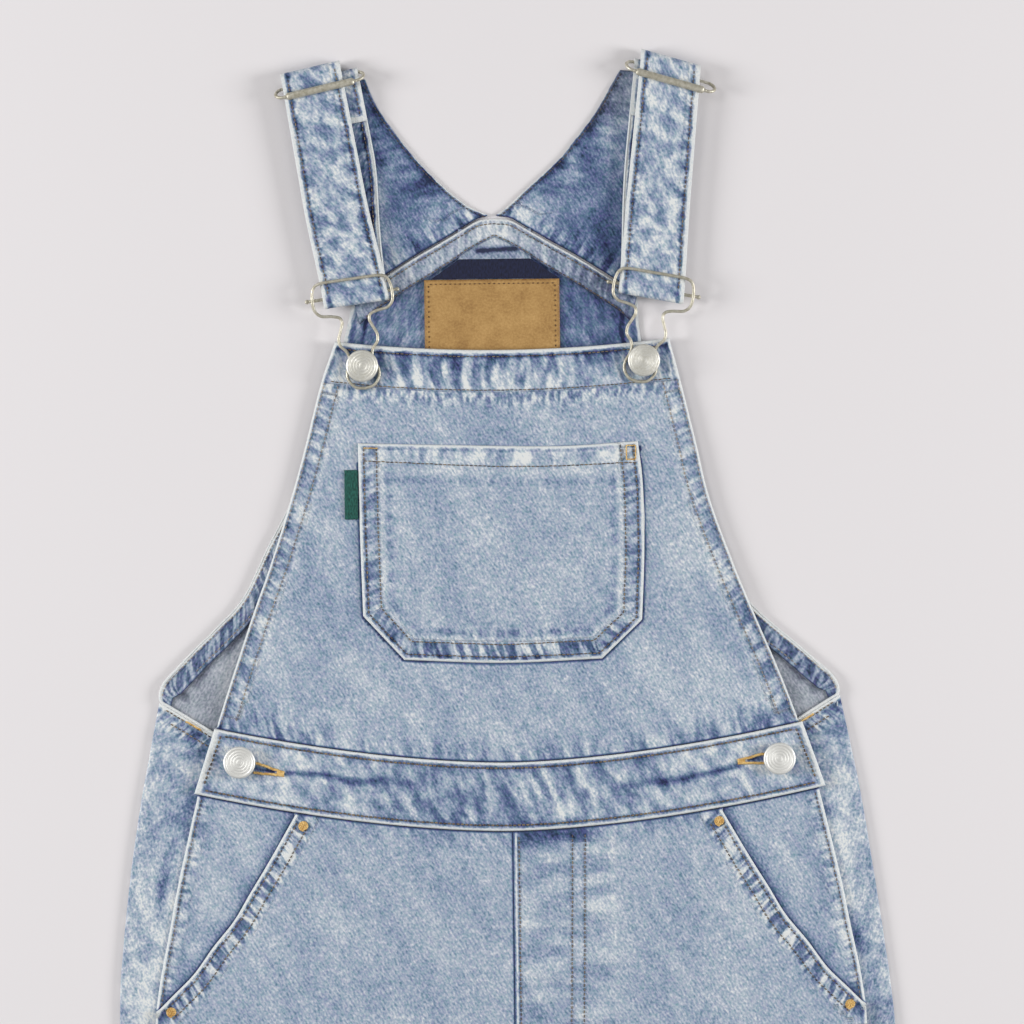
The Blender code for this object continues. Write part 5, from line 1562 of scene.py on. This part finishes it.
def strapPath(length):
    # Middle of the strap's wall from the shoulder over the top, down to the bar, back up, and its tail.
    wall, fold, slack, drop = (strapLook[key] for key in ("wall", "fold", "slack", "sliderDrop"))
    foldS, sliderS, barZ = length - fold - wall / 2, length - strapLook["sliderBack"], strapLook["barHeight"]
    reach = strapLook["barRadius"] + 0.3 + wall / 2
    frontPart = spline(((foldS, wall / 2 + 2 * fold), (length - drop, 8.9), (length - 45, 8.1),
                        (length * 0.45, 7.6), (30, 7.5), (12, 8.0), (-slack, barZ + reach)))
    backPart = spline(((-slack, barZ - reach), (14, 3.9), (length * 0.45, 3.4), (length - 40, 2.7),
                       (sliderS, 2.5)))
    tail = spline(((sliderS, 6.3), (sliderS - 12, 6.0), (sliderS - strapLook["tail"], 5.0)))
    return joined(((length - strapLook["start"], wall / 2), (foldS, wall / 2)),
                  arc(foldS, wall / 2 + fold, fold, -90, 90, 16), frontPart,
                  arc(-slack, barZ, reach, 90, 270, 16), backPart, arc(sliderS, 4.4, 1.9, -90, 90, 12), tail)


def strapPoint(strap, s, z, reach, drift):
    # Plan place of a point s up from the bar and reach across, leaning at the foot and at the top.
    length, across, up = strapAxes(strap)
    footSlant, topSlant = slants(strap)
    leanReach, (footAside, topAside) = strapLook["slantReach"], strap["aside"]
    slant = footSlant * (1 - smoothStep(s / leanReach))
    slant = slant + topSlant * rising(s, length - strapLook["sliderDrop"] - leanReach, leanReach)
    aside = footAside + (topAside - footAside) * smoothStep(s / strapLook["asideReach"])
    reach = reach - drift * strap["side"] + aside
    lengthwise = s + reach * slant
    x, y = (strap["foot"][axis] + reach * across[axis] + lengthwise * up[axis] for axis in (0, 1))
    return np.stack([x, y, z], axis=-1)


def makeStrap(sideName):
    # Strap as one sheet along its path: half a wall outwards, narrower upwards, pale roped edges, the
    # returning part painted darker as shade under the front stretch, stitched along both edges of each
    # stretch.
    strap, wall = straps[sideName], strapLook["wall"]
    side, length = strap["side"], strapAxes(strap)[0]
    rough = strapPath(length)
    dense = lengths(rough)
    total = dense[-1]
    at = np.linspace(0, total, int(total / strapLook["step"]))
    path = np.stack([np.interp(at, dense, part) for part in rough.T], axis=1)
    outward, up = -leftOf(wayAlong(path)), path[:, 0]
    lowest = at[np.argmin(up)]
    drift = strap["inward"] * smoothStep(up / (length * 0.6)) * (at > lowest)
    half = np.interp(up, (0, length), (strapLook["halfFoot"], strapLook["halfTop"]))
    share = steps(38, 1.5) * 2 - 1
    gap = half[:, None] * (1 - np.abs(share))
    along, across = at[:, None] + 0 * share, half[:, None] * share
    edgeAlong = along + 900 * (share > 0)
    rope = roping(gap, edgeAlong, {**strapLook["hem"], "seed": 111 + side})
    wash = streaks(across, -along, 34, 17, 6, 112 + side) * 0.13
    wash = wash + streaks(across, -along, 40, 34, 12, 113 + side) * 0.1
    free = ((at > 20) & (at < total - 42))[:, None]
    offset = wall / 2 + free * (0.5 * rolledEdge(gap) + 0.12 * rope)
    s, z = (path[:, axis, None] + outward[:, axis, None] * offset for axis in (0, 1))
    points = strapPoint(strap, s, z, across, drift[:, None])
    look = plainLook(along)
    look["edge"] = np.minimum(gap * 0.74, (total - along) * 0.45)
    look["tone"] = 0.35 * wash + strap["pale"] + 0.05 * rope - 0.16 * bell(gap - 4.1, 0.9)
    hemRopes(look, gap, edgeAlong, strapLook["ropes"])
    # Painted shade on the returning stretch, which lies under the front one.
    returnShade = rising(along, lowest + 20, 30) * (along < total - strapLook["tail"] - 3)
    look["tone"] = look["tone"] - 0.38 * returnShade * (gap > 2.5)
    frontEnd, face, rows = np.argmin(np.abs(at - (lowest - 8))), wall / 2 + 0.15, []
    for edgeSide in (-1, 1):
        mark = (half - strapLook["stitchAt"]) * edgeSide
        line, reverse = (strapPoint(strap, *(path + outward * lift).T, mark, drift)
                         for lift in (face, -face))
        rows += [line[10:frontEnd], reverse[frontEnd + 14:-32], line[-20:-3]]
    stitches = stitchMesh(f"strap{sideName}Stitches", rows, oliveThread, thick=0.36)
    ending = sideName.lower()
    finishSheet(f"strap{sideName}Sheet", points, np.dstack([across, -along]), look, [f"strap_{ending}"],
                [stitches], (denimStrap, denimStrap), shell=1.5, flip=True,
                flat=(0.041, round(total / 1000, 4)))


for sideName in straps:
    makeStrap(sideName)
print("straps made")

labels = {
    "patch": {"left": -48.4, "right": 35.4, "foot": 243, "top": 301.2, "sewnAt": 2.7},
    "tape": {"foot": 301.6, "top": 313.8, "footHalf": 39.5, "topHalf": 22.0, "middle": -4.5},
    "tab": {"left": -99.2, "right": -91, "foot": 153.4, "top": 184},
}


def rectangle(size, u, v):
    # Plan grid of a rectangle at shares of its width and height.
    across, up = size["right"] - size["left"], size["top"] - size["foot"]
    return np.stack(np.meshgrid(size["left"] + u * across, size["foot"] + v * up), axis=-1)


def makePatch():
    # Tan leather rectangle: rounded edges, a shallow bow, stitched close to its edge.
    size = labels["patch"]
    low, high = np.array((size["left"], size["foot"])), np.array((size["right"], size["top"]))
    plan = rectangle(size, *(steps(length, 1.8) for length in high - low))
    x, y = plan[..., 0], plan[..., 1]
    look, edge = plainLook(x), np.minimum(plan - low, high - plan).min(axis=-1)
    look["edge"] = edge
    bow = 0.1 * softNoise(x / 20, y / 20, 121)
    look["z"] = 3.0 - 0.5 * (1 - smoothStep(edge)) - 0.18 * bell(edge - 3.2, 0.8) + bow
    (left, foot), (right, top) = low + size["sewnAt"], high - size["sewnAt"]
    ring = ((left, foot), (right, foot), (right, top), (left, top), (left, foot))
    rows = [atHeight(pair, 2.95) for pair in zip(ring, ring[1:])]
    holes = stitchMesh("patchStitches", rows, brownThread, pitch=3.0, long=1.4, thick=0.4, wander=0.05)
    finishSheet("leatherPatch", raised(plan, look), plan, look, ["leather_patch"], [holes],
                [tanLeather], shell=1.3, flat=(0.0838, 0.0582))


def makeTape():
    # Navy tape above the patch, with its two ends tapering in under the yoke band.
    size = labels["tape"]
    u, v = steps(79, 2), steps(12.2, 1.5)[:, None]
    x = size["middle"] + (2 * u - 1) * (size["footHalf"] + (size["topHalf"] - size["footHalf"]) * v)
    y = size["foot"] + v * (size["top"] - size["foot"]) + 0 * x
    plan, look = np.dstack([x, y]), plainLook(x)
    gap = np.minimum(y - size["foot"], size["top"] - y)
    look["z"] = 2.5 - 0.3 * (1 - smoothStep(gap / 1.2)) + 0.12 * softNoise(x / 9, y / 9, 122)
    finishSheet("hangerTape", raised(plan, look), plan, look, ["hanger_tape"], [makeApex()],
                [navyTape], shell=0.9, flat=(0.079, 0.0122))


def makeApex():
    # Turned cloth above the tape, inside the yoke's point: a pale lump, a slit painted dark as shade, a
    # paler fold.
    x, y = np.meshgrid(np.linspace(-27, 18, 60), np.linspace(312.5, 332.5, 44))
    foot = columnAt(back["yokeFoot"][::-1], np.abs(x - back["shift"]))
    plan, look = np.dstack([x, y]), plainLook(x)
    # The slit between the folds is painted dark, as the shade inside it.
    shadedSlit = bell(y - 319.6 - 0.04 * x, 1.6) * smoothStep((16 - np.abs(x + 3)) / 5)
    lump = bell(y - 325, 3.2) * bell(x + 3, 11)
    fold = bell(y - 315.8, 1.6)
    look["z"] = 1.9 + rising(foot, y, 3.5) * (0.9 * lump + 0.6 * fold - 0.2 * shadedSlit)
    look["tone"] = 0.22 * lump - 0.05 * fold - 0.12 - 0.8 * shadedSlit + 0.08 * softNoise(x / 5, y / 3, 124)
    look["grey"] = np.full(x.shape, 0.3)
    return clothMesh("apexCloth", raised(plan, look), plan, look, shell=0.8)


def makeTab():
    # Small folded tab out of the pocket's left seam, bowed a little towards its free fold.
    size = labels["tab"]
    plan = rectangle(size, steps(8.2, 1.2, True, False), steps(30.6, 1.5))
    x, y = plan[..., 0], plan[..., 1]
    look = plainLook(x)
    gap = np.minimum(x - size["left"], np.minimum(y - size["foot"], size["top"] - y))
    look["z"] = frontHeight(x, y) + frontRelief(x, y) + 2.2 + 0.4 * smoothStep(gap)
    look["z"] += 0.15 * np.sin((y - 150) / 7)
    finishSheet("pocketTab", raised(plan, look), plan, look, ["pocket_tab"], [], [greenWeave],
                shell=0.9, flat=(0.0102, 0.0306))


makePatch()
makeTape()
makeTab()
print("patch, tape and tab made")


def sweptTube(name, curve, radius, material, closed=True, sides=14, flatten=1.0):
    # Round section carried along a curve: ring points at radius across and up from each place.
    way = unit(np.roll(curve, -1, axis=0) - np.roll(curve, 1, axis=0)) if closed else wayAlong(curve)
    across = unit(np.cross(way, (0, 0, 1.0)))
    up = np.cross(across, way)
    angle = 2 * np.pi * np.arange(sides)[:, None] / sides
    ring = across[:, None] * np.cos(angle) + up[:, None] * np.sin(angle) * flatten
    points = (curve[:, None] + np.broadcast_to(radius, len(curve))[:, None, None] * ring).reshape(-1, 3)
    faces = (gridFaces(len(curve) + closed, sides, wrapped=True) % len(points)).tolist()
    if not closed:
        faces += [list(range(sides))[::-1], list(range(len(points) - sides, len(points)))]
    return keep(name, meshOf(name, points, faces), [material])


def turnedDisc(name, profile, place, footZ, material, sides=72):
    # Profile turned about an upright axis: radius and height at each ring, a point at both poles.
    profile = np.asarray(profile, float)
    inner, own = profile[1:-1], np.arange(sides)
    angle = 2 * np.pi * own / sides
    reach, height = inner[:, :1], inner[:, 1:]
    rings = np.stack([reach * np.cos(angle), reach * np.sin(angle), height + 0 * angle], axis=-1)
    points = np.vstack([[(0, 0, profile[0, 1])], rings.reshape(-1, 3), [(0, 0, profile[-1, 1])]])
    after, last = np.roll(own, -1), len(points) - 1
    faces = (gridFaces(len(inner), sides, wrapped=True) + 1).tolist()
    faces += np.stack([0 * own, after + 1, own + 1], axis=1).tolist()
    faces += np.stack([0 * own + last, last - sides + own, last - sides + after], axis=1).tolist()
    mesh = meshOf(name, points + (*place, footZ), faces)
    piece = keep(name, mesh, [material])
    mesh.set_sharp_from_angle(angle=math.radians(50))
    return piece


def rideAs(piece, *nodes):
    # Metal piece on the root, in the place of the solids it is drawn for.
    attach(piece, "root")
    if nodes:
        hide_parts(*nodes)


buttons = {
    "profile": ((0, 0), (4.5, 0), (4.5, 3.0), (8.8, 3.1), (9.7, 3.5), (10, 4.1), (9.85, 4.8), (9.3, 5.3),
                (8.6, 5.42), (8.1, 5.26), (7.8, 5.02), (7.3, 5.06), (6.9, 5.3), (6.4, 5.3), (6.0, 5.04),
                (5.6, 5.06), (5.2, 5.32), (4.7, 5.32), (4.3, 5.06), (3.9, 5.08), (3.5, 5.34), (2.9, 5.34),
                (2.5, 5.1), (1.9, 5.12), (1.4, 5.37), (0.8, 5.4), (0, 5.41)),
    "bib": {"Left": (-87.3, 248.3), "Right": (87.1, 249.7)},
    "waist": {"Left": (-166.2, 3.9), "Right": (168.0, 2.3)},
    "lift": {"bib": 3.0, "waist": 2.4},
}
# Right half of each wire. The buckle's rows are across, up, height; the slider's are across, share of the
# way round to the back, radius.
buckleLook = {
    "wire": ((0, 10.2, 10.4), (10, 10.2, 10.4), (18.4, 10.0, 10.3), (22.6, 8.2, 9.9), (24.4, 4.0, 9.4),
             (24.9, -1.5, 9.2), (24.1, -6.8, 8.9), (20.6, -10.2, 8.6), (14.5, -11.2, 8.6), (9.7, -12.8, 8.6),
             (8.5, -16.2, 8.6), (10.2, -21, 8.5), (12.0, -25.5, 8.4), (11.6, -30, 8.3), (8.6, -33.6, 8.2),
             (7.2, -37.5, 8.2), (8.0, -42, 8.2), (9.8, -47, 8.2), (9.4, -52, 8.2), (5.8, -56.6, 8.2),
             (0, -58, 8.2)),
    "radius": 0.95, "barHalf": 28.2, "barRadius": 1.05, "ball": 1.45,
    "ballArc": (0.15, 2.45), "ballReach": 1.4,
}
sliderLook = {
    "wire": ((0, 0, 1.25), (21, 0, 1.25), (22.5, 0, 1.0), (24.6, 0.02, 1.0), (26.6, 0.16, 1.0),
             (27.7, 0.38, 1.0), (27.7, 0.62, 1.0), (26.6, 0.84, 1.0), (24.6, 0.98, 1.0),
             (22.5, 1, 0.9), (0, 1, 0.75)),
    "widest": 1.05, "frontZ": 11.3, "backZ": 4.4, "plateHalf": 21.5, "plateWide": 2.25,
}


def bothHalves(half):
    # Closed loop from its right half: the half, then its mirror image back to the start.
    return np.vstack([half, (half * (-1, 1, 1))[-2:0:-1]])


def makeButtons():
    # Four turned buttons, each a fixed lift above the front's underside at its place.
    for kind, metal in (("bib", nickel), ("waist", paleNickel)):
        for sideName, place in buttons[kind].items():
            footZ = float(frontHeight(*map(np.array, place))) + buttons["lift"][kind]
            piece = turnedDisc(f"{kind}Button{sideName}", buttons["profile"], place, footZ, metal)
            rideAs(piece, f"{kind}_button_{sideName.lower()}")


def makeBuckle(sideName):
    # Bent wire in the strap's lean, and a bar across it whose ends swell as the sine of an arc into balls.
    strap, ending = straps[sideName], sideName.lower()
    turn, middle = math.radians(strap["turn"]), np.array(strap["foot"])
    across = np.array((math.cos(turn), math.sin(turn)))
    loop = bothHalves(spline(buckleLook["wire"], 6))
    plan = middle + np.outer(loop[:, 0], across) + np.outer(loop[:, 1], leftOf(across))
    loop = np.column_stack([plan, loop[:, 2]])[::-1]
    wire = sweptTube(f"buckle{sideName}", loop, buckleLook["radius"], agedNickel)
    rideAs(wire, f"buckle_{ending}")
    half, ball, swell = buckleLook["barHalf"], buckleLook["ball"], np.linspace(*buckleLook["ballArc"], 8)
    straight = np.linspace(-1, 1, 12) * (half - buckleLook["ballReach"])
    reach = np.concatenate([-half - ball * np.cos(swell), straight, half + ball * np.cos(swell)[::-1]])
    thin = np.full(12, buckleLook["barRadius"])
    radius = np.concatenate([ball * np.sin(swell), thin, ball * np.sin(swell)[::-1]])
    line = atHeight(middle + np.outer(reach, across), strapLook["barHeight"])
    rideAs(sweptTube(f"buckleBar{sideName}", line, radius, agedNickel, closed=False), f"buckle_bar_{ending}")


def makeSlider(sideName):
    # Wire loop from the front of the strap round to its back, and a flattened bar along its front side.
    strap = straps[sideName]
    length, across, up = strapAxes(strap)
    slant, drop, frontZ = slants(strap)[1], strapLook["sliderDrop"], sliderLook["frontZ"]
    inward = -strap["side"] * strap["inward"] * 0.4

    def placed(s, reach, z):
        # Points s up from the bar and reach across, leaning as the strap's top does.
        plan = np.array(strap["foot"]) + np.outer(s + reach * slant, up) + np.outer(reach, across)
        return atHeight(plan, z)

    reach, share, radius = bothHalves(spline(sliderLook["wire"], 5)).T
    s = length - drop + (drop - strapLook["sliderBack"]) * share
    loop = placed(s, reach + inward, frontZ + (sliderLook["backZ"] - frontZ) * share)
    wire = sweptTube(f"slider{sideName}", loop, np.minimum(radius, sliderLook["widest"]), agedNickel)
    half = sliderLook["plateHalf"]
    at = np.linspace(-half, half, 40)
    ends = rising(half + 0.4, np.abs(at), 1.2) * 0.55 + 0.45
    plate = sweptTube(f"sliderPlate{sideName}", placed(length - drop, at + inward, frontZ),
                      sliderLook["plateWide"] * ends, agedNickel, closed=False, sides=16, flatten=0.62)
    rideAs(wire, f"slider_{sideName.lower()}")
    rideAs(plate)


makeButtons()
for sideName in straps:
    makeBuckle(sideName)
    makeSlider(sideName)
print("hardware made")

floorMesh = bpy.data.meshes.new("floor")
floorCorners = [(x, y, -0.0004) for x, y in ((-6, -6), (6, -6), (6, 6), (-6, 6))]
floorMesh.from_pydata(floorCorners, [], [(0, 1, 2, 3)])
floor = keep("floor", floorMesh, [floorMaterial])
